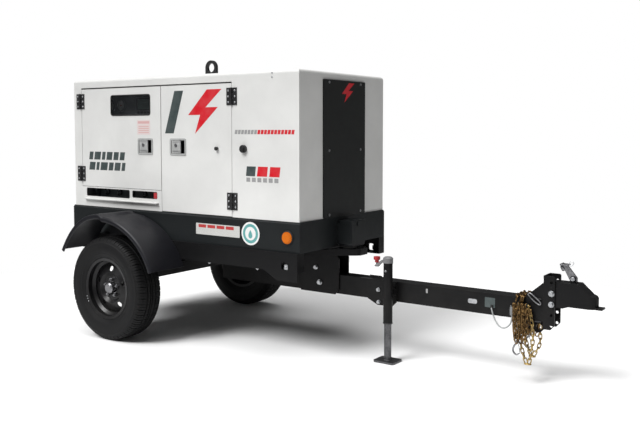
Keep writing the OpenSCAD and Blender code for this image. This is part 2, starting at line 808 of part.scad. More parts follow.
// The fixed panels on the left: the louvred rear one and the front one
module panel_left() {
    color([0.86, 0.86, 0.84]) mirror([0, 1, 0]) {
        block([seam_x, -side_y, canopy_z], [canopy_front - 60, sheet - side_y, cap_z]);
        block([seam_x, -side_y, canopy_z], [seam_x + sheet, -frame_y + 10, cap_z]);
        difference() {
            block([canopy_rear + 50, -side_y, canopy_z], [split_x, sheet - side_y, cap_z]);
            for (i = [0:5]) block([-1600, -side_y - 1, 1180 + 62 * i],
                [-1100, sheet - side_y + 1, 1204 + 62 * i]);
        }
        for (i = [0:5]) translate([0, -side_y, 1204 + 62 * i]) cross_plate(-1600, -1100)
            polygon([[0, 0], [-14, -20], [-14, -22], [-12, -22], [3, -1], [3, 0]]);
        block([split_x - 30, 2 - frame_y, canopy_z], [split_x + 20, 5 - frame_y, cap_z]);
        block([split_x - 30, sheet - side_y, canopy_z], [split_x - 27, 5 - frame_y, cap_z]);
    }
}

// The rear post, the cable outlet below the control door and the post between the doors
module outlet_panel() {
    color([0.86, 0.86, 0.84]) {
        difference() {
            block([canopy_rear + 50, -side_y, canopy_z],
                [split_x, sheet - side_y, control_sill]);
            side_plate(-side_y - 1, sheet - side_y + 1) {
                soft_rect([-1687, 922], [-1233, 981], 10);
                soft_rect([-1207, 930], [-961, 979], 10);
            }
        }
        block([canopy_rear + 50, -side_y, control_sill], [post_x, sheet - side_y, cap_z]);
        side_plate(-side_y - 22, -side_y) polygon([[-1700, 900], [-950, 900], [-950, 906],
            [-1700, 906]]);
        block([split_x - 30, 2 - frame_y, canopy_z], [split_x + 30, 5 - frame_y, cap_z]);
        block([split_x - 30, sheet - side_y, canopy_z],
            [split_x - 27, 5 - frame_y, control_sill]);
    }
}

// A recess for a paddle latch, 36 mm deep behind the door's skin
latch_w = 142;
latch_h = 107;
latch_z = 1285;
latch_depth = 30;
control_latch_x = -1070;
service_latch_x = split_x + 157;

module latch_cut(x) {
    block([x - latch_w / 2 + 8, -side_y - 1, latch_z - latch_h / 2 + 8],
        [x + latch_w / 2 - 8, sheet - side_y + 1, latch_z + latch_h / 2 - 8]);
}

// The latch's dished housing, fixed in the door
module latch_dish(x) {
    half_w = latch_w / 2;
    half_h = latch_h / 2;
    difference() {
        block([x - half_w, -side_y - 3, latch_z - half_h], [x + half_w, -side_y, latch_z + half_h]);
        block([x - half_w + 8, -side_y - 4, latch_z - half_h + 8],
            [x + half_w - 8, -side_y + 1, latch_z + half_h - 8]);
    }
    difference() {
        block([x - half_w + 8, -side_y, latch_z - half_h + 8],
            [x + half_w - 8, latch_depth - side_y, latch_z + half_h - 8]);
        block([x - half_w + 10, -side_y - 1, latch_z - half_h + 10],
            [x + half_w - 10, latch_depth - side_y - 2, latch_z + half_h - 10]);
        rod_z(x - half_w + 16, 3 - side_y, latch_z - half_h, latch_z + half_h, 4.05);
    }
}

// The leaf of each hinge that turns with the door, on one side of its pin
module door_leaves(x, side, heights) {
    for (z = heights) difference() {
        union() {
            block([min(x, x + side * 42), -side_y - 4, z - 54],
                [max(x, x + side * 42), -side_y, z + 54]);
            rod_z(x, -side_y - hinge_out, z - 18, z + 18, 7);
        }
        rod_z(x, -side_y - hinge_out, z - 19, z + 19, 4.05);
    }
}

// Hinge heights on the control door and on each service door
control_hinges = [1082, 1601];
service_hinges = [950, 1605];

module door_control() {
    x0 = post_x + door_gap;
    x1 = split_x - door_gap;
    color([0.86, 0.86, 0.84]) {
        difference() {
            pan(x0, x1, control_sill + door_gap, door_top - door_gap, door_fold - 4);
            side_plate(-side_y - 1, sheet - side_y + 1)
                soft_rect([-1410, 1500], [-1023, 1634], 14);
            latch_cut(control_latch_x);
        }
        latch_dish(control_latch_x);
    }
    color([0.08, 0.08, 0.08]) difference() {
        door_leaves(control_hinge_x, 1, control_hinges);
        for (z = control_hinges) knuckle_gaps(control_hinge_x, z);
    }
}

// Room in a moving leaf for the fixed leaf's two knuckles
module knuckle_gaps(x, z) {
    for (z0 = [z - 55, z + 18]) block([x - 8, -side_y - 16, z0], [x + 8, 1 - side_y, z0 + 37]);
}

module window() {
    color([0.1, 0.11, 0.12]) side_plate(sheet - side_y, sheet - side_y + 4)
        soft_rect([-1424, 1486], [-1009, 1648], 14);
}

module service_door() {
    x0 = split_x + door_gap;
    x1 = seam_x - door_gap;
    color([0.86, 0.86, 0.84]) {
        difference() {
            pan(x0, x1, service_sill + door_gap, door_top - door_gap, door_fold - 4);
            latch_cut(service_latch_x);
        }
        latch_dish(service_latch_x);
        rod_y(seam_x - 124, -side_y - 14, -side_y, 1279, 12);
    }
    color([0.08, 0.08, 0.08]) difference() {
        door_leaves(service_hinge_x, -1, service_hinges);
        for (z = service_hinges) knuckle_gaps(service_hinge_x, z);
    }
}

module door_right() { service_door(); }
module door_left() { mirror([0, 1, 0]) service_door(); }

// The paddle: it turns about an upright pin at its rear edge; a finger slot is left at its front
module paddle(x) {
    pin_x = x - latch_w / 2 + 16;
    color([0.45, 0.46, 0.46]) {
        block([pin_x, -side_y - 3, latch_z - 42], [x + 24, 3 - side_y, latch_z + 42]);
        rod_z(pin_x, 3 - side_y, latch_z - 45, latch_z + 45, 4);
        block([x - 4, 2 - side_y, latch_z - 14], [x + 2, 22 - side_y, latch_z + 14]);
    }
}

module latch_control() { paddle(control_latch_x); }
module latch_right() { paddle(service_latch_x); }
module latch_left() { mirror([0, 1, 0]) paddle(service_latch_x); }

// The fixed leaf, two outer knuckles and pin of one hinge
module fixed_leaf(x, side, z) {
    difference() {
        block([min(x, x + side * 42), -side_y - 4, z - 54],
            [max(x, x + side * 42), -side_y, z + 54]);
        block([x - 8, -side_y - 16, z - 18.5], [x + 8, 1 - side_y, z + 18.5]);
    }
    for (z0 = [z - 54, z + 18.5]) rod_z(x, -side_y - hinge_out, z0, z0 + 35.5, 7);
    rod_z(x, -side_y - hinge_out, z - 19, z + 19, 4);
}

// All hinge leaves fixed to the canopy, and the service door's hold-back catch
module hinges() {
    color([0.08, 0.08, 0.08]) {
        for (z = control_hinges) fixed_leaf(control_hinge_x, -1, z);
        for (side = [-1, 1]) on_side(side) {
            for (z = service_hinges) fixed_leaf(service_hinge_x, 1, z);
            rod_y(seam_x + 98, -side_y - 18, -side_y, 1280, 24);
            rod_y(seam_x + 98, -side_y - 26, -side_y - 18, 1280, 15);
        }
    }
}

module lifting_eye() {
    eye_x = -900;
    eye_z = 1838;
    color([0.08, 0.08, 0.08]) {
        difference() {
            union() {
                rod_y(eye_x, -10, 10, eye_z, 52);
                block([eye_x - 52, -10, roof_z + 6], [eye_x + 52, 10, eye_z]);
            }
            rod_y(eye_x, -11, 11, eye_z, 32);
        }
        block([eye_x - 90, -70, roof_z], [eye_x + 90, 70, roof_z + 8]);
    }
}

// The dark panel over the front wall's opening
panel_half = 236;
module access_panel() {
    color([0.2, 0.21, 0.22]) difference() {
        cross_plate(canopy_front, canopy_front + 8)
            soft_rect([-panel_half, canopy_z + 1], [panel_half, 1707], 8);
        block([canopy_front - 1, 10 - panel_half, canopy_z + 10],
            [canopy_front + 4, panel_half - 10, 1697]);
    }
}

// ---------------------------------------------------------------- fasteners

// A hex head with a washer on a face whose normal points along -Y
module bolt_right(x, y, z, r) {
    rod_y(x, y - 3, y, z, r * 1.25);
    translate([x, y - 3, z]) rotate([90, 0, 0]) cylinder(h = r, r = r, $fn = 6);
}

module fasteners() {
    color([0.7, 0.71, 0.72]) {
        for (side = [-1, 1]) on_side(side) {
            bolt_right(83, -drawbar_y - 10, drawbar_z + drawbar_h / 2, 14);
            bolt_right(52, -drawbar_y - 10, 510, 12);
            for (z = hitch_bolts_z) bolt_right(hitch_holes_x, -drawbar_y - 2, z, 13);
            for (x = [axle_x - 200, axle_x + 200]) bolt_right(x, -rail_out - 5, 620, 11);
        }
        for (at = [[-105, 0], [-103, -76]])
            bolt_right(jack_x + at[0], -drawbar_y - 10, jack_pivot_z + at[1], 10);
        for (y = [-180, 180]) for (z = [870, 1270, 1690])
            rod_x(canopy_front + 8, canopy_front + 11, y, z, 8);
    }
}

// ---------------------------------------------------------------- engine and generator

module engine_block() {
    front = -350;
    back = -840;
    color([0.2, 0.28, 0.3]) {
        difference() {
            block([back, -150, 970], [front, 150, 1260]);
            rod_x(front - 120, front + 1, 0, crank_z, 17.05);
            block([back + 25, -125, 1150], [front - 25, 125, 1240]);
            block([back + 25, -125, 985], [front - 140, 125, 1140]);
        }
        cross_plate(back - 12, back) translate([0, crank_z]) circle(190);
        side_plate(-110, 110) polygon([[back + 40, 970], [back + 80, 900], [front - 60, 900],
            [front - 30, 970]]);
        block([back + 10, -120, 1260], [front - 10, 120, 1350]);
        block([back + 30, -80, 1350], [front - 30, 60, 1400]);
        for (i = [0:3]) rod_y(back + 80 + 110 * i, 120, 178, 1300, 24);
        block([back + 50, 150, 1276], [front - 50, 182, 1324]);
        rod_z(back + 160, -178, 1040, 1160, 40);
        block([back + 110, -178, 1070], [back + 210, -150, 1130]);
        for (x = [back + 90, front - 90]) for (side = [-1, 1])
            block([x - 30, side * 190 - 50, canopy_z], [x + 30, side * 190 + 50, 976]);
    }
}

module alternator() {
    color([0.3, 0.32, 0.34]) {
        difference() {
            union() {
                rod_x(-1480, -852, 0, crank_z, 188);
                rod_x(-1500, -1480, 0, crank_z, 150);
                for (side = [-1, 1]) block([-1380, side * 150 - 40, canopy_z],
                    [-960, side * 150 + 40, crank_z - 80]);
                block([-1420, -140, crank_z + 120], [-1120, 140, crank_z + 240]);
            }
            rod_x(-1470, -866, 0, crank_z, 162);
            block([-1416, -136, crank_z + 186], [-1124, 136, crank_z + 236]);
        }
    }
}

module radiator() {
    color([0.12, 0.12, 0.13]) {
        block([-215, -250, canopy_z], [-140, 250, 900]);
        block([-205, -250, 900], [-150, 250, 1420]);
        block([-215, -250, 1420], [-140, 250, 1480]);
        rod_z(-178, -120, 1480, 1500, 26);
        difference() {
            block([-262, -245, 870], [-205, 245, 1420]);
            rod_x(-263, -204, 0, crank_z, 222);
        }
    }
}

// Six curved blades on a hub, with the crankshaft's nose behind it
module fan() {
    color([0.75, 0.7, 0.55]) {
        rod_x(fan_x + 26, fan_x + 60, 0, crank_z, 55);
        for (i = [0:5]) translate([fan_x + 42, 0, crank_z]) rotate([60 * i, 0, 0])
            rotate([0, 0, 32]) translate([-3, -32, 40]) cube([5, 64, 168]);
        rod_x(fan_x - 40, fan_x + 26, 0, crank_z, 70);
        rod_x(fan_x - 140, fan_x - 40, 0, crank_z, 17);
    }
}

module muffler() {
    z = 1590;
    color([0.55, 0.54, 0.52]) {
        difference() {
            rod_y(60, -290, 290, z, 85);
            rod_y(60, -286, 286, z, 81);
        }
        rod_x(-560, -20, 166, z, 24);
        rod_z(-560, 166, 1324, z, 24);
        translate([-560, 166, z]) sphere(24);
    }
}

module air_filter() {
    color([0.15, 0.15, 0.16]) {
        rod_x(-860, -580, -150, 1520, 72);
        rod_x(-580, -560, -150, 1520, 60);
        rod_z(-640, -110, 1350, 1460, 24);
        block([-780, -118, 1350], [-740, -90, 1500]);
    }
}

module battery() {
    x0 = -90;
    color([0.1, 0.1, 0.11]) {
        block([x0, -410, canopy_z], [x0 + 250, -240, canopy_z + 170]);
        block([x0 - 4, -414, canopy_z + 170], [x0 + 254, -236, canopy_z + 195]);
        for (x = [x0 + 40, x0 + 210]) rod_z(x, -270, canopy_z + 195, canopy_z + 213, 9);
    }
}

// ---------------------------------------------------------------- controls

// The control panel: plate, electrical box, gauge bezels, breaker body and output studs
module control_panel() {
    color([0.22, 0.23, 0.25]) {
        difference() {
            union() {
                block([-1720, panel_y, 1010], [split_x - 34, panel_y + 3, 1685]);
                block([-1660, panel_y + 2, 1330], [-1000, panel_y + 120, 1660]);
                block([breaker_x - 70, panel_y - 12, breaker_z - 95],
                    [breaker_x + 70, panel_y + 60, breaker_z + 95]);
            }
            block([-1657, panel_y + 6, 1333], [-1003, panel_y + 117, 1657]);
            rod_y(estop_x, panel_y - 1, panel_y + 60, knob_z, 12.05);
            rod_y(key_x, panel_y - 1, panel_y + 40, knob_z, 10.05);
            rod_x(breaker_x - 21, breaker_x + 21, panel_y + 12, breaker_z, 12.05);
            block([breaker_x - 16, panel_y - 13, breaker_z - 42],
                [breaker_x + 16, panel_y + 40, breaker_z + 42]);
        }
        block([-1260, panel_y - 10, 1500], [-1060, panel_y, 1620]);
        for (i = [0:2]) difference() {
            rod_y(-1620 + 105 * i, panel_y - 12, panel_y, 1570, 42);
            rod_y(-1620 + 105 * i, panel_y - 13, panel_y - 6, 1570, 36);
        }
        block([-1680, -360, canopy_z + 5], [-960, -340, 1012]);
        block([-1680, -382, 1012], [-960, -340, 1020]);
        for (i = [0:4]) rod_y(-1600 + 130 * i, -384, -360, 950, 11);
        for (x = [-1720, -982]) block([x, -382, canopy_z], [x + 28, -342, 1012]);
    }
}

module emergency_stop() {
    color([0.8, 0.08, 0.06]) {
        rod_y(estop_x, panel_y - 24, panel_y - 12, knob_z, 20);
        rod_y(estop_x, panel_y - 12, panel_y + 40, knob_z, 12);
    }
}

module key_switch() {
    color([0.1, 0.1, 0.1]) {
        rod_y(key_x, panel_y - 12, panel_y - 0.5, knob_z, 16);
        block([key_x - 4, panel_y - 24, knob_z - 15], [key_x + 4, panel_y - 12, knob_z + 15]);
        rod_y(key_x, panel_y - 0.5, panel_y + 30, knob_z, 10);
    }
}

module breaker_lever() {
    color([0.12, 0.12, 0.12]) {
        rod_x(breaker_x - 20, breaker_x + 20, panel_y + 12, breaker_z, 12);
        translate([breaker_x, panel_y + 12, breaker_z]) rotate([-28, 0, 0])
            block([-9, -38, -6], [9, 0, 6]);
    }
}

tongue_tube();
rail_right();
rail_left();
crossmembers();
draw_frame();
axle_beam();
torsion_arm_right();
torsion_arm_left();
fender_right();
fender_left();
tyre_right();
rim_right();
hub_right();
tyre_left();
rim_left();
hub_left();
lamps();
hitch_channel();
coupler();
coupler_latch();
fasteners();
chain_right();
chain_left();
jack_mount();
jack_tube();
jack_leg();
jack_handle();
light_lead();
light_plug();
skid_base();
fuel_cap();
document_box();
document_lid();
roof();
front_wall();
rear_wall();
panel_right();
panel_left();
outlet_panel();
door_control();
window();
door_right();
door_left();
latch_control();
latch_right();
latch_left();
hinges();
lifting_eye();
access_panel();
engine_block();
alternator();
radiator();
fan();
muffler();
air_filter();
battery();
control_panel();
emergency_stop();
key_switch();
breaker_lever();
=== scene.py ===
"""Looks of a towable diesel generator: a sound-proofed generator set on a single-axle trailer.

Metres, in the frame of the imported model: +X towards the hitch, +Y to the trailer's left, +Z up.
"""
from math import copysign, cos, pi, radians, sin

import bmesh
import bpy
from mathutils import Matrix, Vector


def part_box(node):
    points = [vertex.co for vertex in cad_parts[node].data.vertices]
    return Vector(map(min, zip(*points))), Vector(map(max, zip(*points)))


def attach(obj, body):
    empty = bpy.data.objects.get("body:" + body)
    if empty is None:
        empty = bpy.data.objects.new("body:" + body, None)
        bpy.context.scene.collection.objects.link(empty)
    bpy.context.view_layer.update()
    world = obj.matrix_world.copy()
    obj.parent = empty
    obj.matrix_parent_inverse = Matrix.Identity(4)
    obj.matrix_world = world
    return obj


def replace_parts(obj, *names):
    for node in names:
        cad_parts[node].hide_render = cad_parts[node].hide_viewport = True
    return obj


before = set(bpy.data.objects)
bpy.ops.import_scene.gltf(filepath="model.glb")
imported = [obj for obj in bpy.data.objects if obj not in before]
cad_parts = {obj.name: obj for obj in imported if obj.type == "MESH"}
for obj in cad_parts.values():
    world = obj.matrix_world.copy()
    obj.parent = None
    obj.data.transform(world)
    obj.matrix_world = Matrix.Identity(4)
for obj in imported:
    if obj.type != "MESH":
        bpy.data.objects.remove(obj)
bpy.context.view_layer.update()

# ---- places, from the frame

ROOF_HIGH = Vector(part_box("roof")[1])
FRONT_X, SIDE_Y = ROOF_HIGH.x, ROOF_HIGH.y
BASE_Y = -0.488
SEAM_X = -0.292
SPLIT_X = -0.918
POST_X = -1.73
DRAWBAR_Y = 0.05
TYRE_LOW, TYRE_HIGH = (Vector(corner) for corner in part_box("tyre_right"))
WHEEL = (TYRE_LOW + TYRE_HIGH) / 2
TYRE_HALF = (TYRE_HIGH.y - TYRE_LOW.y) / 2
JACK = Vector((0.628, -0.124, 0.0))
SIDES = (("right", 1), ("left", -1))

# A face's own axes: along it, up it, and out of it
FACES = {
    "right": ((1, 0, 0), (0, 0, 1), (0, -1, 0)),
    "left": ((-1, 0, 0), (0, 0, 1), (0, 1, 0)),
    "front": ((0, 1, 0), (0, 0, 1), (1, 0, 0)),
    "rear": ((0, -1, 0), (0, 0, 1), (-1, 0, 0)),
    "top": ((1, 0, 0), (0, 1, 0), (0, 0, 1)),
}


def new_object(name, data):
    """An object of the scene."""
    made = bpy.data.objects.new(name, data)
    bpy.context.scene.collection.objects.link(made)
    return made


# ---- camera


def make_camera():
    camera = new_object("camera", bpy.data.cameras.new("camera"))
    heading, dip = radians(35.07), radians(3.52)
    camera.location = (3.059, -4.298, 1.395)
    camera.rotation_euler = (pi / 2 - dip, 0, heading)
    camera.data.sensor_width = 36
    camera.data.lens = 45.5
    camera.data.shift_y = -0.0477
    camera.data.clip_end = 200
    bpy.context.scene.camera = camera


make_camera()

# ---- materials


def add_node(tree, kind, values=(), **links):
    """A new shader node, with values for its sockets and links to them by socket name."""
    node = tree.nodes.new("ShaderNode" + kind)
    for socket, value in dict(values).items():
        node.inputs[socket].default_value = value
    for socket, source in links.items():
        tree.links.new(source, node.inputs[socket.replace("_", " ")])
    return node


def noise(tree, place, scale, detail=3, rough=0.6):
    values = {"Scale": scale, "Detail": detail, "Roughness": rough}
    return add_node(tree, "TexNoise", values, Vector=place).outputs["Fac"]


def cells(tree, place, scale, feature="F1"):
    """Distance in a Voronoi pattern."""
    node = add_node(tree, "TexVoronoi", {"Scale": scale}, Vector=place)
    node.feature = feature
    return node.outputs["Distance"]


def remap(tree, value, low, high, to_low=0.0, to_high=1.0):
    values = {"From Min": low, "From Max": high, "To Min": to_low, "To Max": to_high}
    return add_node(tree, "MapRange", values, Value=value).outputs["Result"]


def maths(tree, operation, first, second=0.0):
    node = add_node(tree, "Math")
    node.operation = operation
    for socket, value in zip(node.inputs, (first, second)):
        if isinstance(value, (int, float)):
            socket.default_value = value
        else:
            tree.links.new(value, socket)
    return node.outputs[0]


def blend_colours(tree, share, first, second):
    node = add_node(tree, "Mix")
    node.data_type = "RGBA"
    factor, a, b = node.inputs[0], node.inputs[6], node.inputs[7]
    tree.links.new(share, factor)
    for socket, colour in ((a, first), (b, second)):
        if isinstance(colour, tuple):
            socket.default_value = (*colour, 1)
        else:
            tree.links.new(colour, socket)
    return node.outputs[2]


def bump(tree, height, strength, distance, normal=None):
    node = add_node(tree, "Bump", {"Strength": strength, "Distance": distance}, Height=height)
    if normal:
        tree.links.new(normal, node.inputs["Normal"])
    return node.outputs["Normal"]


def edge_share(tree, radius):
    """1 on a rounded edge, 0 on a flat face, with the rounded normal."""
    soft = add_node(tree, "Bevel", {"Radius": radius})
    soft.samples = 4
    plain = add_node(tree, "NewGeometry").outputs["Normal"]
    dot = add_node(tree, "VectorMath")
    dot.operation = "DOT_PRODUCT"
    tree.links.new(soft.outputs["Normal"], dot.inputs[0])
    tree.links.new(plain, dot.inputs[1])
    return remap(tree, dot.outputs["Value"], 0.995, 0.8), soft.outputs["Normal"]


def start_material(name, colour, roughness, metal=0.0, coat=0.0, specular=0.5):
    """The material, its node tree, its shader, and the point's place on the object."""
    material = bpy.data.materials.new(name)
    material.use_nodes = True
    material.diffuse_color = (*colour, 1)
    tree = material.node_tree
    shader = tree.nodes["Principled BSDF"]
    values = {"Base Color": (*colour, 1), "Roughness": roughness, "Metallic": metal,
              "Coat Weight": coat, "Specular IOR Level": specular}
    for socket, value in values.items():
        shader.inputs[socket].default_value = value
    return material, tree, shader, add_node(tree, "TexCoord").outputs["Object"]


def wire(tree, shader, **sources):
    """Links sources to the shader's sockets; an underscore stands for a space."""
    for socket, source in sources.items():
        tree.links.new(source, shader.inputs[socket.replace("_", " ")])


def scaled(colour, share, lift=0.0):
    """A darker or paler colour, no channel above 1."""
    return tuple(min(1, share * c + lift) for c in colour)


def box_mask(tree, place, axis, low, high):
    """1 where the point's X, Y, Z or |Y lies between low and high, with a 1 mm edge."""
    value = add_node(tree, "SeparateXYZ", Vector=place).outputs[axis[-1]]
    if axis == "|Y":
        value = maths(tree, "ABSOLUTE", value)
    above = remap(tree, value, low - 0.0005, low + 0.0005)
    below = remap(tree, value, high + 0.0005, high - 0.0005)
    return maths(tree, "MULTIPLY", above, below)


def mask_of(tree, place, ranges):
    """1 inside the box of (axis, low, high) ranges, 0 outside it."""
    share = 1.0
    for axis, low, high in ranges:
        share = maths(tree, "MULTIPLY", share, box_mask(tree, place, axis, low, high))
    return share


DUST = (0.3, 0.27, 0.23)
DUST_TOP = 0.6


def paint(name, colour, roughness, peel=0.12, dust=0.0, wear=0.0, coat=0.0, edge=0.0015,
          specular=0.5, parts=()):
    """Sprayed or powder-coated metal: orange peel, faint blotches, dust near the ground and worn
    edges. parts holds (colour, [(axis, low, high), ...]) boxes that are another colour."""
    material, tree, shader, place = start_material(name, colour, roughness, 0.0, coat, specular)
    blotch = remap(tree, noise(tree, place, 2.2, 4), 0.35, 0.65)
    shade = blend_colours(tree, blotch, scaled(colour, 0.9), colour)
    edges, normal = edge_share(tree, edge)
    for other, ranges in parts:
        shade = blend_colours(tree, mask_of(tree, place, ranges), shade, other)
    if wear:
        chips = remap(tree, noise(tree, place, 60, 5), 0.5, 0.62, 0, wear)
        worn = maths(tree, "MULTIPLY", edges, chips)
        shade = blend_colours(tree, worn, shade, scaled(colour, 1.4, 0.12))
    if dust:
        height = add_node(tree, "SeparateXYZ", Vector=place).outputs["Z"]
        low_down = remap(tree, height, DUST_TOP, 0.0, 0, dust)
        cloud = remap(tree, noise(tree, place, 9, 6, 0.7), 0.35, 0.75)
        shade = blend_colours(tree, maths(tree, "MULTIPLY", low_down, cloud), shade, DUST)
    gloss = remap(tree, noise(tree, place, 14, 5), 0.3, 0.7, roughness - 0.05, roughness + 0.08)
    normal = bump(tree, noise(tree, place, 420, 2), peel, 0.0004, normal)
    wire(tree, shader, Base_Color=shade, Roughness=gloss, Normal=normal)
    return material


def plated(name, colour, other, roughness, spangle=90):
    """Zinc or passivated plating: crystals of slightly different tint and gloss."""
    material, tree, shader, place = start_material(name, colour, roughness, metal=1.0)
    crystals = cells(tree, place, spangle)
    stain = noise(tree, place, 26, 5, 0.7)
    mixed = maths(tree, "MULTIPLY", remap(tree, stain, 0.3, 0.7), crystals)
    shade = blend_colours(tree, remap(tree, mixed, 0.0, 0.5), colour, other)
    gloss = remap(tree, stain, 0.3, 0.7, roughness - 0.08, roughness + 0.14)
    normal = bump(tree, noise(tree, place, 300, 3), 0.15, 0.0004, edge_share(tree, 0.001)[1])
    wire(tree, shader, Base_Color=shade, Roughness=gloss, Normal=normal)
    return material


def stained(name, colour, other, roughness, stain, share, gloss, grain, edge=0.0, **options):
    """A surface whose tint and gloss follow one cloudy stain, over a fine grain. grain holds what
    makes it (noise or cells), with its settings, and the bump's strength and distance."""
    material, tree, shader, place = start_material(name, colour, roughness, **options)
    cloud = noise(tree, place, *stain)
    make_grain, settings, strength, distance = grain
    height = make_grain(tree, place, *settings)
    soft = edge_share(tree, edge)[1] if edge else None
    wire(tree, shader,
         Base_Color=blend_colours(tree, remap(tree, cloud, *share), colour, other),
         Roughness=remap(tree, cloud, 0.3, 0.7, *gloss),
         Normal=bump(tree, height, strength, distance, soft))
    return material


def moulded(name, colour, roughness, depth=0.25):
    """Moulded plastic or rubber: a fine pebbled grain with small changes of gloss."""
    return stained(name, colour, scaled(colour, 1.25, 0.004), roughness, (18, 4), (0.35, 0.7),
                   (roughness - 0.06, roughness + 0.1), (cells, (700,), depth, 0.0003))


def tyre_rubber(name):
    """Tyre rubber: greyer where it scrubs, dusty in streaks round the wheel."""
    return stained(name, (0.0045, 0.0045, 0.005), (0.013, 0.0125, 0.012), 0.62, (7, 6, 0.7),
                   (0.45, 0.72, 0, 0.55), (0.52, 0.74), (noise, (260, 4), 0.3, 0.0006),
                   specular=0.2)


def cast_metal(name, colour, roughness, metal=0.0):
    """Cast or welded metal with a sandy skin and oily stains."""
    return stained(name, colour, scaled(colour, 0.55), roughness, (8, 6, 0.7), (0.4, 0.7),
                   (roughness - 0.1, roughness + 0.1), (noise, (180, 4), 0.35, 0.001), 0.003,
                   metal=metal)


def vinyl(name, colour):
    """Printed vinyl film: satin, with faint ripples and a slightly faded print."""
    return stained(name, colour, scaled(colour, 0.94, 0.035), 0.38, (22, 5), (0.35, 0.7),
                   (0.32, 0.46), (noise, (90, 2), 0.1, 0.0004))


def lens(name, colour, parts=()):
    """A moulded lamp lens with fine optic ribs behind a smooth face; parts as in paint()."""
    material, tree, shader, place = start_material(name, colour, 0.12, coat=0.6)
    ribs = add_node(tree, "TexWave", {"Scale": 90, "Distortion": 0.4}, Vector=place).outputs["Fac"]
    shade = blend_colours(tree, ribs, scaled(colour, 0.45), colour)
    for other, ranges in parts:
        shade = blend_colours(tree, mask_of(tree, place, ranges), shade, other)
    wire(tree, shader, Base_Color=shade, Normal=bump(tree, ribs, 0.4, 0.0015))
    shader.inputs["Emission Color"].default_value = (*colour, 1)
    shader.inputs["Emission Strength"].default_value = 0.04
    return material


def smoked_glass(name):
    material, tree, shader, place = start_material(name, (0.02, 0.022, 0.024), 0.06)
    smears = noise(tree, place, 11, 5, 0.7)
    wire(tree, shader, Roughness=remap(tree, smears, 0.35, 0.7, 0.04, 0.16))
    shader.inputs["Alpha"].default_value = 0.34
    shader.inputs["IOR"].default_value = 1.49
    return material


def reflective(name, colour):
    """Retro-reflective tape: a lattice of tiny cells under a clear film."""
    material, tree, shader, place = start_material(name, colour, 0.3, coat=0.5)
    share = remap(tree, cells(tree, place, 240, "DISTANCE_TO_EDGE"), 0.0, 0.12)
    wire(tree, shader, Base_Color=blend_colours(tree, share, scaled(colour, 0.7), colour))
    return material


WHITE = (0.74, 0.74, 0.725)
BLACK = (0.0065, 0.0065, 0.007)
HINGE_BLACK = (0.016, 0.016, 0.017)
LATCH_GREY = (0.24, 0.245, 0.24)
RED = (0.62, 0.006, 0.016)
DARK_GREY = (0.045, 0.062, 0.062)
# Where a door's surface has another colour: raised parts outside the skin, and the latch dishes
OUTSIDE = ("|Y", SIDE_Y + 0.0015, 0.51)
LATCH_HEIGHTS = ("Z", 1.2315, 1.3385)
LATCH_DEPTHS = ("|Y", 0.44, SIDE_Y - 0.0006)
CONTROL_LATCH = ("X", -1.141, -0.999)
SERVICE_LATCH = ("X", -0.832, -0.69)
DOOR_PARTS = [
    (HINGE_BLACK, [OUTSIDE, ("X", POST_X - 0.02, POST_X + 0.038)]),
    (HINGE_BLACK, [OUTSIDE, ("X", SEAM_X - 0.043, SEAM_X + 0.012)]),
    (HINGE_BLACK, [OUTSIDE, ("X", -0.43, -0.4)]),
    (LATCH_GREY, [CONTROL_LATCH, LATCH_HEIGHTS, OUTSIDE]),
    (LATCH_GREY, [SERVICE_LATCH, LATCH_HEIGHTS, OUTSIDE]),
    (HINGE_BLACK, [CONTROL_LATCH, LATCH_HEIGHTS, LATCH_DEPTHS]),
    (HINGE_BLACK, [SERVICE_LATCH, LATCH_HEIGHTS, LATCH_DEPTHS]),
]

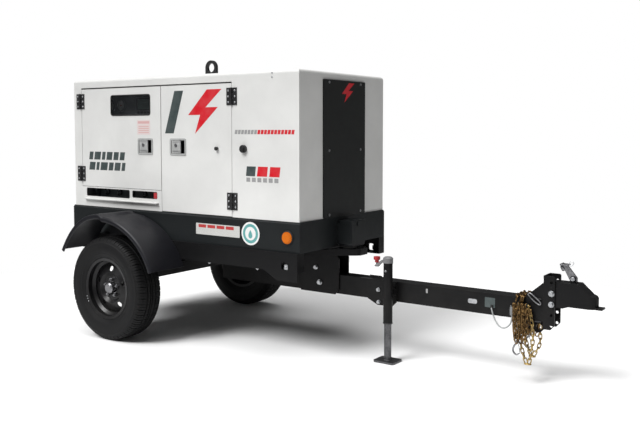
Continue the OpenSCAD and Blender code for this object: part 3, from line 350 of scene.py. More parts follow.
LOOKS = {
    "canopy": paint("canopy_paint", WHITE, 0.42, peel=0.08),
    "door": paint("door_paint", WHITE, 0.42, peel=0.08, parts=DOOR_PARTS),
    "frame": paint("frame_paint", BLACK, 0.42, peel=0.1, dust=0.06, wear=0.2, specular=0.16),
    "base": paint("base_paint", (0.012, 0.014, 0.015), 0.42, peel=0.1, wear=0.2, specular=0.22),
    "fender": paint("fender_paint", (0.01, 0.01, 0.013), 0.38, peel=0.1, dust=0.03, wear=0.1,
                    specular=0.25),
    "rim": paint("rim_paint", (0.007, 0.007, 0.008), 0.34, peel=0.08, dust=0.05, wear=0.3,
                 specular=0.28),
    "hinge": paint("hinge_paint", HINGE_BLACK, 0.45, peel=0.15, wear=0.2, edge=0.001),
    "dark_panel": paint("dark_panel_paint", (0.02, 0.021, 0.021), 0.42, peel=0.14, specular=0.25),
    "panel": paint("control_panel_paint", (0.16, 0.17, 0.18), 0.45, peel=0.2),
    "engine": cast_metal("engine_paint", (0.1, 0.16, 0.17), 0.45),
    "alternator": cast_metal("alternator_paint", (0.16, 0.17, 0.18), 0.5),
    "radiator": paint("radiator_paint", (0.018, 0.018, 0.019), 0.5, peel=0.2),
    "muffler": cast_metal("muffler_steel", (0.42, 0.4, 0.38), 0.5, metal=1.0),
    "zinc": plated("zinc", (0.58, 0.59, 0.6), (0.44, 0.45, 0.47), 0.34),
    "hub": plated("hub_zinc", (0.32, 0.32, 0.33), (0.2, 0.2, 0.21), 0.36),
    "latch_steel": plated("latch_steel", (0.2, 0.2, 0.21), (0.32, 0.32, 0.33), 0.38),
    "chain": plated("yellow_zinc", (0.56, 0.42, 0.17), (0.24, 0.16, 0.07), 0.36, spangle=160),
    # A darker copy of the chain's yellow zinc for the gathered links and the wrap: painted shade in the
    # bundle of links.
    "chain_shaded": plated("yellow_zinc_painted_shade", (0.3, 0.18, 0.07), (0.06, 0.04, 0.025), 0.42, spangle=160),
    "latch": moulded("latch_plastic", (0.36, 0.365, 0.36), 0.42),
    "black_plastic": moulded("black_plastic", (0.018, 0.018, 0.019), 0.48),
    "rubber": moulded("black_rubber", (0.01, 0.01, 0.01), 0.7, depth=0.15),
    "lead": moulded("lead_jacket", (0.3, 0.31, 0.31), 0.5),
    "plug": moulded("plug_moulding", (0.16, 0.165, 0.17), 0.45),
    "fan": moulded("fan_plastic", (0.6, 0.56, 0.44), 0.45),
    "red_plastic": moulded("red_plastic", (0.42, 0.035, 0.04), 0.4),
    # The jack's leg and foot are a darkened grey steel: painted shade for where they stand under the
    # drawbar.
    "jack_steel_shaded": plated("jack_steel_shaded", (0.15, 0.15, 0.155), (0.09, 0.09, 0.095), 0.42),
    "jack_handle": paint("jack_handle_paint", (0.19, 0.19, 0.195), 0.34, peel=0.1, wear=0.3,
                         parts=[((0.38, 0.02, 0.025), [("X", 0.5, 0.572), ("Z", 0.5985, 0.7)])]),
    "weld": cast_metal("weld_bead", (0.02, 0.02, 0.021), 0.5),
    "dial": vinyl("dial_face", (0.7, 0.7, 0.68)),
    "tyre": tyre_rubber("tyre_rubber"),
    "lamp": lens("lamp_lens", (0.85, 0.2, 0.012), [((0.42, 0.01, 0.01), [("X", -1.9, -1.8)])]),
    "window": smoked_glass("window_acrylic"),
    "red": vinyl("vinyl_red", RED),
    "dark": vinyl("vinyl_dark", DARK_GREY),
    "grey": vinyl("vinyl_grey", (0.3, 0.3, 0.3)),
    "white": vinyl("vinyl_white", (0.78, 0.78, 0.77)),
    "pink": vinyl("vinyl_pale", (0.72, 0.62, 0.61)),
    "faded_red": vinyl("vinyl_faded_red", (0.66, 0.4, 0.39)),
    "teal": vinyl("vinyl_teal", (0.1, 0.34, 0.33)),
    "screen": vinyl("display_face", (0.1, 0.16, 0.14)),
    "reflect_white": reflective("tape_white", (0.62, 0.62, 0.6)),
    "reflect_red": reflective("tape_red", (0.5, 0.05, 0.05)),
}

NODE_LOOKS = {
    "frame": "tongue_tube rail_right rail_left crossmembers draw_frame axle_beam torsion_arm_right"
             " torsion_arm_left hitch_channel coupler jack_mount jack_tube",
    "base": "skid_base document_box document_lid",
    "canopy": "roof front_wall rear_wall panel_right panel_left outlet_panel",
    "door": "door_control door_right door_left",
    "fender": "fender_right fender_left",
    "tyre": "tyre_right tyre_left",
    "rim": "rim_right rim_left",
    "hub": "hub_right hub_left",
    "hinge": "hinges lifting_eye",
    "dark_panel": "access_panel",
    "zinc": "fasteners",
    "jack_steel_shaded": "jack_leg",
    "jack_handle": "jack_handle",
    "latch_steel": "coupler_latch",
    "chain": "chain_right chain_left",
    "latch": "latch_control latch_right latch_left",
    "lead": "light_lead",
    "plug": "light_plug",
    "window": "window",
    "lamp": "lamps",
    "black_plastic": "fuel_cap air_filter battery key_switch breaker_lever",
    "red_plastic": "emergency_stop",
    "engine": "engine_block",
    "alternator": "alternator",
    "radiator": "radiator",
    "fan": "fan",
    "muffler": "muffler",
    "panel": "control_panel",
}


def dress_nodes():
    for look, names in NODE_LOOKS.items():
        for name in names.split():
            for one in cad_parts[name].material_slots:
                one.material = LOOKS[look]


dress_nodes()

# ---- mesh helpers


def finish(name, bm, look, body="chassis", bevel=0.0, smooth=35.0):
    """The built mesh becomes a piece with a look, riding on a body."""
    bmesh.ops.recalc_face_normals(bm, faces=bm.faces)
    mesh = bpy.data.meshes.new(name)
    bm.to_mesh(mesh)
    bm.free()
    mesh.materials.append(LOOKS[look])
    mesh.shade_smooth()
    mesh.set_sharp_from_angle(angle=radians(smooth))
    piece = new_object(name, mesh)
    if bevel:
        edge = piece.modifiers.new("edges", "BEVEL")
        edge.width = bevel
        edge.segments = 2
        edge.limit_method = "ANGLE"
        edge.angle_limit = radians(40)
        edge.harden_normals = True
    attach(piece, body)
    return piece


def add_block(bm, low, high):
    low, high = Vector(low), Vector(high)
    size = high - low
    matrix = Matrix.Translation((low + high) / 2) @ Matrix.Diagonal((*size, 1))
    bmesh.ops.create_cube(bm, size=1, matrix=matrix)


def add_rod(bm, start, end, radius, sides=24, tip=None):
    start, end = Vector(start), Vector(end)
    along = end - start
    turn = Vector((0, 0, 1)).rotation_difference(along).to_matrix().to_4x4()
    matrix = Matrix.Translation((start + end) / 2) @ turn
    bmesh.ops.create_cone(bm, cap_ends=True, segments=sides, radius1=radius,
                          radius2=radius if tip is None else tip, depth=along.length, matrix=matrix)


def skin_rings(bm, rings, closed_ring=True, closed_path=False, caps=True):
    """Faces between neighbouring rings of points."""
    rows = [[bm.verts.new(point) for point in ring] for ring in rings]
    pairs = list(zip(rows, rows[1:]))
    if closed_path:
        pairs.append((rows[-1], rows[0]))
    for first, second in pairs:
        count = len(first)
        for i in range(count if closed_ring else count - 1):
            j = (i + 1) % count
            bm.faces.new((first[i], first[j], second[j], second[i]))
    if caps and closed_ring and not closed_path:
        bm.faces.new(reversed(rows[0]))
        bm.faces.new(rows[-1])


def circle(count, radius=1.0):
    """Evenly spaced points of a circle about the origin."""
    return [(radius * cos(a), radius * sin(a)) for a in (2 * pi * i / count for i in range(count))]


def add_lathe(bm, profile, place, axis, steps=48, closed=False):
    """Turns (along, radius) points round an axis through place."""
    axis = Vector(axis).normalized()
    side = axis.orthogonal().normalized()
    up = axis.cross(side)
    rings = []
    for along, radius in profile:
        centre = Vector(place) + axis * along
        rings.append([centre + radius * (c * side + s * up) for c, s in circle(steps)])
    skin_rings(bm, rings, closed_path=closed, caps=not closed)


def add_tube(bm, path, radius, sides=10, closed=False):
    """A round bar or hose along a path of points, without twist."""
    path = [Vector(point) for point in path]
    count = len(path)
    side = None
    rings = []
    for i, point in enumerate(path):
        before = path[i - 1] if i or closed else point
        after = path[(i + 1) % count] if i + 1 < count or closed else point
        along = (after - before).normalized()
        side = along.orthogonal() if side is None else side - along * side.dot(along)
        side.normalize()
        up = along.cross(side)
        r = radius[i] if isinstance(radius, (list, tuple)) else radius
        rings.append([point + r * (c * side + s * up) for c, s in circle(sides)])
    skin_rings(bm, rings, closed_path=closed)


def smooth_path(points, steps=6):
    """A Catmull-Rom curve through the points."""
    points = [Vector(point) for point in points]
    last = len(points) - 1
    line = []
    for i in range(last):
        a, b, c, d = (points[max(0, min(last, k))] for k in (i - 1, i, i + 1, i + 2))
        for s in range(steps):
            t = s / steps
            line.append(0.5 * (2 * b + (c - a) * t + (2 * a - 5 * b + 4 * c - d) * t * t
                               + (3 * b - a - 3 * c + d) * t ** 3))
    return line + [points[-1]]


def add_plate(bm, outline, face, origin, low, high):
    """A flat shape on a face: outline points are along and up it, and it spans low to high outwards."""
    along, up, out = (Vector(axis) for axis in FACES[face])
    rings = [[Vector(origin) + along * u + up * v + out * w for u, v in outline]
             for w in (low, high)]
    skin_rings(bm, rings)


def rounded(width, height, radius, centre=(0, 0), steps=5):
    """Outline of a rectangle with rounded corners."""
    points = []
    for corner, (sx, sy) in enumerate(((1, 1), (-1, 1), (-1, -1), (1, -1))):
        for i in range(steps + 1):
            a = radians(90 * (corner + i / steps))
            points.append((centre[0] + sx * (width / 2 - radius) + radius * cos(a),
                           centre[1] + sy * (height / 2 - radius) + radius * sin(a)))
    return points


def disc(radius, centre):
    return [(centre[0] + x, centre[1] + y) for x, y in circle(32, radius)]


def mirror_y(points, side):
    """The points as given for side 1, the right, and mirrored for side -1, the left."""
    return [Vector((p[0], side * p[1], p[2])) for p in points]


# ---- lighting lead, a free cord

LEAD_POINTS = [(1.262, -0.05, 0.405), (1.264, -0.064, 0.403), (1.27, -0.074, 0.392),
               (1.28, -0.074, 0.36), (1.296, -0.074, 0.326), (1.318, -0.074, 0.302),
               (1.34, -0.074, 0.296), (1.362, -0.074, 0.304), (1.38, -0.074, 0.324),
               (1.388, -0.074, 0.35), (1.39, -0.074, 0.372)]
LEAD_R = 0.004


def make_lead_plug():
    """Flat moulded connector with finger ridges and two bare pins, in a strap on the drawbar."""
    bm = bmesh.new()
    y = LEAD_POINTS[-1][1]
    add_block(bm, (1.38, y - 0.008, 0.374), (1.4, y + 0.008, 0.419))
    for i in range(5):
        z = 0.38 + 0.006 * i
        add_block(bm, (1.379, y - 0.009, z), (1.401, y + 0.009, z + 0.003))
    add_rod(bm, (1.39, y, 0.366), (1.39, y, 0.375), 0.005, 16, 0.008)
    add_block(bm, (1.383, y, 0.381), (1.397, -DRAWBAR_Y, 0.384))
    add_block(bm, (1.383, y, 0.392), (1.397, -DRAWBAR_Y, 0.395))
    plug = finish("lead_plug", bm, "plug", bevel=0.0012)
    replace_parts(plug, "light_plug")
    bm = bmesh.new()
    for x in (1.384, 1.396):
        add_rod(bm, (x, y, 0.417), (x, y, 0.43), 0.0035, 14, 0.003)
    pins = finish("lead_pins", bm, "zinc")
    return plug, pins


def make_lead():
    line = smooth_path(LEAD_POINTS, 3)
    curve = bpy.data.curves.new("lighting_lead", "CURVE")
    curve.dimensions = "3D"
    curve.bevel_depth = LEAD_R
    curve.bevel_resolution = 5
    curve.use_fill_caps = True
    spline = curve.splines.new("POLY")
    spline.points.add(len(line) - 1)
    for point, place in zip(spline.points, line):
        point.co = (*place, 1)
    curve.materials.append(LOOKS["lead"])
    lead = new_object("lighting_lead", curve)
    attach(lead, "chassis")
    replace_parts(lead, "light_lead")
    plug, pins = make_lead_plug()
    bm = bmesh.new()
    add_tube(bm, line[:6], [0.0075, 0.0072, 0.0066, 0.0058, 0.0052, 0.0046], 16)
    for i in range(4):
        a, b = line[i], line[i + 1]
        add_tube(bm, [a.lerp(b, 0.2), a.lerp(b, 0.7)], 0.0082 - 0.0007 * i, 16)
    relief = finish("lead_relief", bm, "rubber")


make_lead()

# ---- wheels


WHEEL_CENTRE = {1: Vector(WHEEL), -1: Vector((WHEEL.x, -WHEEL.y, WHEEL.z))}


def tyre_profile():
    """(across, radius, tread share) from one bead over the tread to the other."""
    half = [(0.000, 0.345, 1), (0.004, 0.345, 1), (0.0045, 0.3375, 0), (0.0115, 0.3375, 0),
            (0.012, 0.3449, 1), (0.03, 0.3447, 1), (0.032, 0.3372, 0), (0.039, 0.337, 0),
            (0.041, 0.3444, 1), (0.058, 0.3436, 1), (0.071, 0.342, 1), (0.082, 0.3375, 1),
            (0.09, 0.3305, 1), (0.0955, 0.3215, 0.6), (0.0985, 0.312, 0.2), (0.1, 0.308, 0),
            (0.1018, 0.306, 0), (0.1024, 0.3, 0), (0.1012, 0.296, 0), (0.1022, 0.286, 0),
            (0.1025, 0.272, 0), (0.1015, 0.258, 0), (0.099, 0.246, 0), (0.096, 0.237, 0),
            (0.0965, 0.2345, 0), (0.0945, 0.23, 0), (0.09, 0.221, 0), (0.086, 0.212, 0),
            (0.0835, 0.207, 0), (0.079, 0.2052, 0), (0.0762, 0.2052, 0), (0.0758, 0.191, 0)]
    other = [(-y, r, share) for y, r, share in half[:0:-1]]
    return other + half


def tyre_mesh(side):
    """A tyre with shoulder blocks, two ribbed grooves and thin sipes across the tread."""
    pitches = 56
    stops = (0.0, 0.1, 0.14, 0.52, 0.55, 0.6, 0.63, 0.96)
    depth = (1.0, 1.0, 0.0, 0.0, 0.5, 0.5, 0.0, 0.0)
    groove = 0.0065
    bm = bmesh.new()
    rings = []
    for pitch in range(pitches):
        for stop, cut in zip(stops, depth):
            ring = []
            for across, radius, share in tyre_profile():
                lag = 0.35 * across / TYRE_HALF * (1 if pitch % 2 else 0.9)
                a = 2 * pi * (pitch + stop + lag * 0.6) / pitches
                shoulder = 1.0 if abs(across) > 0.045 else 0.45
                r = radius - groove * share * cut * shoulder
                ring.append(WHEEL_CENTRE[side] + Vector((r * cos(a), side * -across, r * sin(a))))
            rings.append(ring)
    skin_rings(bm, rings, closed_ring=False, closed_path=True)
    return bm


def spoke(angle):
    return Vector((cos(radians(angle)), 0, sin(radians(angle))))


def make_wheel(name, side):
    """The treaded tyre, the valve and three balance weights."""
    body = "wheel_" + name
    bm = tyre_mesh(side)
    tyre = finish("tyre_detailed_" + name, bm, "tyre", body, smooth=28)
    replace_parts(tyre, "tyre_" + name)
    centre = WHEEL_CENTRE[side]
    out = Vector((0, -side, 0))
    bm = bmesh.new()
    foot = centre + out * 0.046 + 0.176 * spoke(20)
    head = foot + out * 0.03 - 0.006 * spoke(20)
    add_tube(bm, smooth_path([foot - out * 0.012, foot + out * 0.01, head], 4), 0.0045, 14)
    add_rod(bm, head, head + out * 0.01, 0.0062, 14, 0.0052)
    finish("valve_" + name, bm, "rubber", body)
    bm = bmesh.new()
    for i in range(3):
        at = centre + out * 0.083 + 0.206 * spoke(200 + 5 * i)
        add_rod(bm, at - out * 0.004, at + out * 0.003, 0.0055, 10, 0.004)
    finish("balance_weight_" + name, bm, "zinc", body, bevel=0.0008)


for side_name, side_sign in SIDES:
    make_wheel(side_name, side_sign)

# ---- mudguards

RAIL_OUT = 0.502
FENDER_OUT = 0.792
FENDER_T = 0.004


def arch_radius(angle):
    swell = sin(radians(2 * (angle - 62))) ** 2
    return 0.487 + 0.026 * swell * (1 if angle > 90 else 0.35)


def arch_point(angle, inset):
    r = arch_radius(angle) - inset
    a = radians(angle)
    return WHEEL.x - 0.006 + r * cos(a), 0.333 + r * sin(a)


def make_fender(name, side):
    """One pressed sheet: flat top, rounded shoulder, turned-down outer lip with a rolled edge."""
    shoulder = 0.016
    lip = 0.032
    section = [(RAIL_OUT + 0.001, 0.0)]
    section += [(RAIL_OUT + 0.06 * k, 0.0) for k in range(1, 5)]
    section += [(FENDER_OUT - shoulder + shoulder * sin(a), shoulder - shoulder * cos(a))
                for a in (radians(15 * k) for k in range(7))]
    section += [(FENDER_OUT, lip - 0.006), (FENDER_OUT - 0.001, lip - 0.002), (FENDER_OUT - 0.004, lip)]
    inner = [(y - FENDER_T if y > RAIL_OUT + 0.26 else y, d + (FENDER_T if d < lip - 0.003 else -0.001))
             for y, d in section[::-1]]
    inner = [(max(RAIL_OUT + 0.001, y), d) for y, d in inner]
    rings = []
    for angle in (150 - 2.5 * i for i in range(53)):
        ring = []
        for y, d in section + inner:
            x, z = arch_point(angle, d)
            ring.append(Vector((x, -side * y, z)))
        rings.append(ring)
    bm = bmesh.new()
    skin_rings(bm, rings)
    low_x, high_x, low_z = WHEEL.x - 0.26, WHEEL.x + 0.26, 0.575
    y = RAIL_OUT + 0.003
    plate = [(low_x, low_z), (high_x, low_z), (high_x, 0.66)]
    plate += [arch_point(angle, 0.004) for angle in range(62, 122, 6)]
    plate += [(low_x, 0.66)]
    rings = [[Vector((x, -side * (y + w), z)) for x, z in plate] for w in (-0.002, 0.002)]
    skin_rings(bm, rings)
    piece = finish("mudguard_" + name, bm, "fender", bevel=0.0008)
    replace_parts(piece, "fender_" + name)


for side_name, side_sign in SIDES:
    make_fender(side_name, side_sign)

# ---- chains

LINK_WIRE = 0.0035
LINK_STRAIGHT = 0.009
LINK_END = 0.0085


def add_link(bm, centre, along, across, scale=1.0):
    """One round-wire link: two straights joined by two half circles."""
    along, across = Vector(along).normalized(), Vector(across).normalized()
    path = []
    for end in (1, -1):
        for i in range(7):
            a = radians(180 * i / 6) - pi / 2
            u = end * (LINK_STRAIGHT + LINK_END * cos(a))
            v = end * LINK_END * sin(a)
            path.append(Vector(centre) + scale * (u * along + v * across))
    add_tube(bm, path, LINK_WIRE * scale, 8, closed=True)


def add_strand(bm, points, pitch=0.027, twist=0.0):
    """Links every pitch along a line, each turned a quarter from the last."""
    line = smooth_path(points, 12)
    walked, i, k = 0.0, 0, 0
    target = 0.0
    for a, b in zip(line, line[1:]):
        step = (b - a).length
        while target <= walked + step:
            share = (target - walked) / step
            along = (b - a).normalized()
            side = along.cross(Vector((1, 0.05, 0))).normalized()
            if side.length < 0.1:
                side = Vector((0, 1, 0))
            turned = Matrix.Rotation(pi / 2 * (k % 2) + twist, 3, along) @ side
            add_link(bm, a.lerp(b, share), along, turned)
            target += pitch
            k += 1
        walked += step


CHAIN_Y = -0.08
CHAIN_LUGS = (1.437, 1.489)
CHAIN_TOP = 0.437
LOOP_LOW_X = {1: 1.486, -1: 1.452}
GATHERS = ((1.409, -0.014, 0.25), (1.417, -0.018, 0.232), (1.428, 0.002, 0.262), (1.438, -0.014, 0.238),
           (1.45, -0.002, 0.272), (1.462, -0.018, 0.246), (1.474, 0.000, 0.285))


def chain_part(bm, name, part, look):
    return finish(part + "_" + name, bm, look, "chain_" + name, smooth=60)


def make_chain(name, side):
    """The safety chain: one long loop from two lugs, the rest gathered between them, and a hook."""
    rear_x, fore_x = CHAIN_LUGS
    low_x = LOOP_LOW_X[side]
    bm = bmesh.new()
    rear = [(rear_x, CHAIN_Y, 0.428), (rear_x, CHAIN_Y, 0.33), (low_x - 0.042, CHAIN_Y, 0.235),
            (low_x - 0.026, CHAIN_Y, 0.17), (low_x - 0.008, CHAIN_Y, 0.125)]
    belly = low_x - rear_x
    fore = [(fore_x, CHAIN_Y, 0.428), (fore_x + 0.28 * belly, CHAIN_Y, 0.36),
            (fore_x + 0.5 * belly, CHAIN_Y, 0.28), (fore_x + 0.36 * belly, CHAIN_Y, 0.195),
            (low_x + 0.008, CHAIN_Y, 0.125)]
    add_strand(bm, mirror_y(rear, side))
    add_strand(bm, mirror_y(fore, side))
    add_link(bm, Vector((low_x, side * CHAIN_Y, 0.118)), (1, 0, 0), (0, 1, 0))
    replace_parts(chain_part(bm, name, "safety_chain", "chain"), "chain_" + name)
    bm = bmesh.new()
    for x, shift, low in GATHERS:
        y = CHAIN_Y + shift
        loop = [(x, y, 0.432), (x + 0.003, y - 0.004, low + 0.07), (x + 0.011, y, low),
                (x + 0.02, y + 0.004, low + 0.07), (x + 0.026, y, 0.432)]
        add_strand(bm, mirror_y(loop, side), twist=0.4)
    for x in CHAIN_LUGS:
        y = side * CHAIN_Y
        add_rod(bm, (x - 0.016, y, CHAIN_TOP), (x + 0.008, y, CHAIN_TOP), 0.0045, 16)
    # The gathered links take the darker copy of the zinc, painted shade in the bundle.
    chain_part(bm, name, "chain_gathers", "chain_shaded")
    bm = bmesh.new()
    y = CHAIN_Y - 0.006
    hook = [(1.43, y, 0.262), (1.43, y, 0.232), (1.41, y, 0.21), (1.404, y, 0.18), (1.422, y, 0.162),
            (1.443, y, 0.174)]
    line = smooth_path(mirror_y(hook, side), 5)
    thick = [0.0052] * (len(line) - 6) + [0.0048, 0.0044, 0.0038, 0.0032, 0.0027, 0.002]
    add_tube(bm, line, thick, 10)
    add_tube(bm, mirror_y([(1.43, y, 0.23), (1.437, y, 0.21), (1.442, y, 0.178)], side), 0.0022, 8)
    chain_part(bm, name, "chain_hook", "latch_steel")


def make_chain_wrap():
    """Spare links laid over the drawbar between the two gathered chains."""
    bm = bmesh.new()
    for x in (1.41, 1.436, 1.446):
        half = [(x, -0.062, 0.469), (x + 0.002, -0.059, 0.481), (x + 0.003, -0.04, 0.4875)]
        over = half + [(x + 0.004, 0.0, 0.4875)] + mirror_y(half[::-1], -1)
        add_strand(bm, over, twist=0.6)
    # The wrap takes the darker copy of the chain's zinc, painted shade.
    finish("chain_wrap", bm, "chain_shaded", smooth=60)


for side_name, side_sign in SIDES:
    make_chain(side_name, side_sign)
make_chain_wrap()

# ---- markings, all generic


SKIN = ("right", (0, -SIDE_Y, 0))
BASE_WALL = ("right", (0, BASE_Y, 0))
DRAWBAR_SIDE = ("right", (0, -DRAWBAR_Y, 0))
FRONT_SKIN = ("front", (0.238, 0, 0))


def decal(name, outlines, look, body="chassis", where=SKIN, lift=0.0, thick=0.0006):
    """Film cut to one or more outlines and stuck on a face."""
    bm = bmesh.new()
    for outline in outlines:
        add_plate(bm, outline, *where, lift, lift + thick)
    return finish(name, bm, look, body)


def slanted(width, height, lean, left=0.0, bottom=0.0):
    return [(left, bottom), (left + width, bottom), (left + width + lean, bottom + height),
            (left + lean, bottom + height)]


def bolt_outline(width, height, left=0.0, bottom=0.0):
    """A lightning bolt."""
    shape = [(0.62, 1.0), (0.12, 0.43), (0.44, 0.43), (0.3, 0.0), (0.9, 0.6), (0.58, 0.6), (1.0, 1.0)]
    return [(left + width * u, bottom + height * v) for u, v in shape]


def side_markings():
    decal("mark_bar", [slanted(0.08, 0.278, 0.09, -0.88, 1.374)], "dark", "door_right")
    decal("mark_bolt", [bolt_outline(0.33, 0.282, -0.706, 1.372)], "red", "door_right")
    widths = ((0.04, 0.066, 0.034, 0.058, 0.05, 0.048), (0.06, 0.03, 0.072, 0.046, 0.058, 0.034))
    rows = []
    for row, run in enumerate(widths):
        x = -1.655
        for width in run:
            rows.append(slanted(width, 0.056, 0.01, x, 1.186 - 0.074 * row))
            x += width + 0.015
    decal("mark_rows", rows, "dark", "door_control")
    dashes = [slanted(0.02, 0.026, 0.005, -0.27 + 0.026 * i, 1.371) for i in range(18)]
    decal("stripe_grey", dashes[:7], "grey")
    decal("stripe_red", dashes[7:], "red")
    decal("rating_dark", [slanted(0.072, 0.06, 0.008, -0.18, 1.113)], "dark")
    decal("rating_red", [slanted(0.078, 0.06, 0.008, x, 1.113) for x in (-0.092, 0.004)], "red")
    ticks = [slanted(0.03, 0.026, 0.0, -0.176 + 0.044 * i, 1.078) for i in range(6)]
    decal("rating_ticks", ticks, "grey")
    label = [rounded(0.128, 0.1, 0.006, (-1.085, 1.415))]
    decal("safety_label", label, "pink", "door_control")
    lines = [slanted(0.1, 0.006, 0, -1.135, 1.376 + 0.014 * i) for i in range(4)]
    lines.append(slanted(0.112, 0.016, 0, -1.141, 1.44))
    decal("safety_label_print", lines, "faded_red", "door_control", lift=0.0006, thick=0.0003)


ROUND_LABEL = (-0.139, 0.759)


def base_markings():
    wall = {"where": BASE_WALL}
    print_on = {"where": BASE_WALL, "lift": 0.0006, "thick": 0.0004}
    decal("tape_white", [rounded(0.372, 0.072, 0.004, (-0.412, 0.761))], "reflect_white", **wall)
    reds = [slanted(0.066, 0.02, 0, -0.575 + 0.078 * i, 0.77) for i in range(4)]
    decal("tape_red", reds, "reflect_red", **print_on)
    decal("round_label", [disc(0.072, ROUND_LABEL)], "white", **wall)
    decal("round_label_field", [disc(0.06, ROUND_LABEL)], "teal", **print_on)
    decal("round_label_disc", [disc(0.042, ROUND_LABEL)], "white", lift=0.001, **wall)
    x, z = ROUND_LABEL
    drop = [(x + 0.02 * sin(a) * sin(a / 2), z + 0.026 * cos(a) - 0.004)
            for a in (2 * pi * i / 28 for i in range(28))]
    decal("round_label_drop", [drop], "teal", lift=0.0016, thick=0.0004, **wall)


def drawbar_marking(name, outline, look, thick):
    decal(name, [outline], look, where=DRAWBAR_SIDE, thick=thick)


drawbar_marking("drawbar_tab", rounded(0.012, 0.026, 0.003, (0.851, 0.444)), "grey", 0.0012)
side_markings()
base_markings()
drawbar_marking("drawbar_label", rounded(0.061, 0.056, 0.003, (1.249, 0.424)), "dark", 0.0006)
drawbar_marking("drawbar_plate", rounded(0.056, 0.026, 0.01, (1.143, 0.419)), "zinc", 0.0012)
decal("front_bolt", [bolt_outline(0.165, 0.124, -0.06, 1.57)], "red", where=FRONT_SKIN)

# ---- small parts used all over


def add_screw(bm, at, out, radius=0.006):
    """A button-head screw with a socket in it."""
    profile = [(0, radius), (0.25 * radius, radius), (0.55 * radius, 0.72 * radius),
               (0.62 * radius, 0.36 * radius), (0.3 * radius, 0.32 * radius)]
    add_lathe(bm, profile, at, out, 16)


def add_nut(bm, at, out, radius):
    """A hexagon nut on a washer, with the bolt's end standing out of it."""
    at, out = Vector(at), Vector(out)
    add_rod(bm, at, at + out * 0.2 * radius, 1.25 * radius, 24)
    add_rod(bm, at + out * 0.2 * radius, at + out * radius, radius, 6)
    add_rod(bm, at + out * radius, at + out * 1.35 * radius, 0.55 * radius, 16, 0.48 * radius)


def add_frame(bm, outer, inner, face, origin, low, high):
    """A flat ring between two outlines with the same number of points."""
    along, up, out = (Vector(axis) for axis in FACES[face])

    def level(outline, height):
        return [Vector(origin) + along * u + up * v + out * height for u, v in outline]

    rings = [level(outer, low), level(outer, high), level(inner, high), level(inner, low)]
    skin_rings(bm, rings, closed_path=True)


def add_weld(bm, path, radius=0.0035, pitch=0.006):
    """A weld bead: a row of overlapping ripples along a path."""
    path = [Vector(point) for point in path]
    line = []
    for first, second in zip(path, path[1:]):
        steps = max(2, int((second - first).length / (pitch / 4)))
        line += [first.lerp(second, i / steps) for i in range(steps)]
    line.append(path[-1])
    sizes = [radius * (1 + 0.22 * sin(2 * pi * i / 4)) for i in range(len(line))]
    add_tube(bm, line, sizes, 8)


# ---- doors and canopy

LEAF_OUT = SIDE_Y + 0.004
CONTROL_HINGES = (POST_X - 0.008, 1, (1.082, 1.601))
SERVICE_HINGES = (SEAM_X + 0.001, -1, (0.95, 1.605))
LATCH_Z = 1.285
CONTROL_LATCH_X = -1.07
SERVICE_LATCH_X = SPLIT_X + 0.157


def hinge_screws(bm, hinges, side, lean):
    """Three screws in each leaf; lean is 1 for the door's leaf and -1 for the fixed one."""
    x, swing, heights = hinges
    for z in heights:
        for step in (-0.036, 0.0, 0.036):
            add_screw(bm, (x + lean * swing * 0.027, -side * LEAF_OUT, z + step), (0, -side, 0))


def make_hinge_details():
    for name, hinges, side in (("control", CONTROL_HINGES, 1), ("right", SERVICE_HINGES, 1),
                               ("left", SERVICE_HINGES, -1)):
        for part, lean, body in (("leaf", 1, "door_" + name), ("post", -1, "chassis")):
            bm = bmesh.new()
            hinge_screws(bm, hinges, side, lean)
            finish("hinge_screws_" + part + "_" + name, bm, "zinc", body, smooth=50)
        bm = bmesh.new()
        for z in hinges[2]:
            for end in (-1, 1):
                at = Vector((hinges[0], -side * (SIDE_Y + 0.007), z + end * 0.053))
                add_lathe(bm, [(0, 0.0052), (0.0022, 0.0052), (0.0034, 0.0036)], at, (0, 0, end), 16)
        finish("hinge_pin_ends_" + name, bm, "zinc", smooth=50)


def make_latch_details():
    for name, x, side in (("control", CONTROL_LATCH_X, 1), ("right", SERVICE_LATCH_X, 1),
                          ("left", SERVICE_LATCH_X, -1)):
        face = "right" if side == 1 else "left"
        origin = (x, -side * SIDE_Y, LATCH_Z)
        bm = bmesh.new()
        add_frame(bm, rounded(0.146, 0.111, 0.012), rounded(0.124, 0.089, 0.006), face, origin,
                  0.0005, 0.0042)
        finish("latch_bezel_" + name, bm, "latch", "door_" + name, bevel=0.0008)
        bm = bmesh.new()
        at = (x - 0.018, -side * (SIDE_Y + 0.003), LATCH_Z + 0.01)
        add_lathe(bm, [(0, 0.0125), (0.0022, 0.0125), (0.0032, 0.0112), (0.0032, 0.0082), (0.0014, 0.0078)],
                  at, (0, -side, 0), 32)
        keyhole = Vector((0.0012, 0.0022, 0.0055))
        add_block(bm, Vector(at) - keyhole, Vector(at) + keyhole)
        for step in (-0.026, -0.032, 0.032):
            add_block(bm, (x - 0.046, at[1] - 0.0011, LATCH_Z + step - 0.001),
                      (x + 0.018, at[1] + 0.0011, LATCH_Z + step + 0.001))
        finish("latch_lock_" + name, bm, "latch_steel", "latch_" + name)


def make_window_seal():
    centre_x, centre_z = (-1.41 - 1.023) / 2, (1.5 + 1.634) / 2
    bm = bmesh.new()
    line = [(centre_x + u, -SIDE_Y - 0.0005, centre_z + v) for u, v in rounded(0.391, 0.138, 0.016)]
    add_tube(bm, line, 0.0038, 10, closed=True)
    finish("window_seal", bm, "rubber", "door_control", smooth=60)


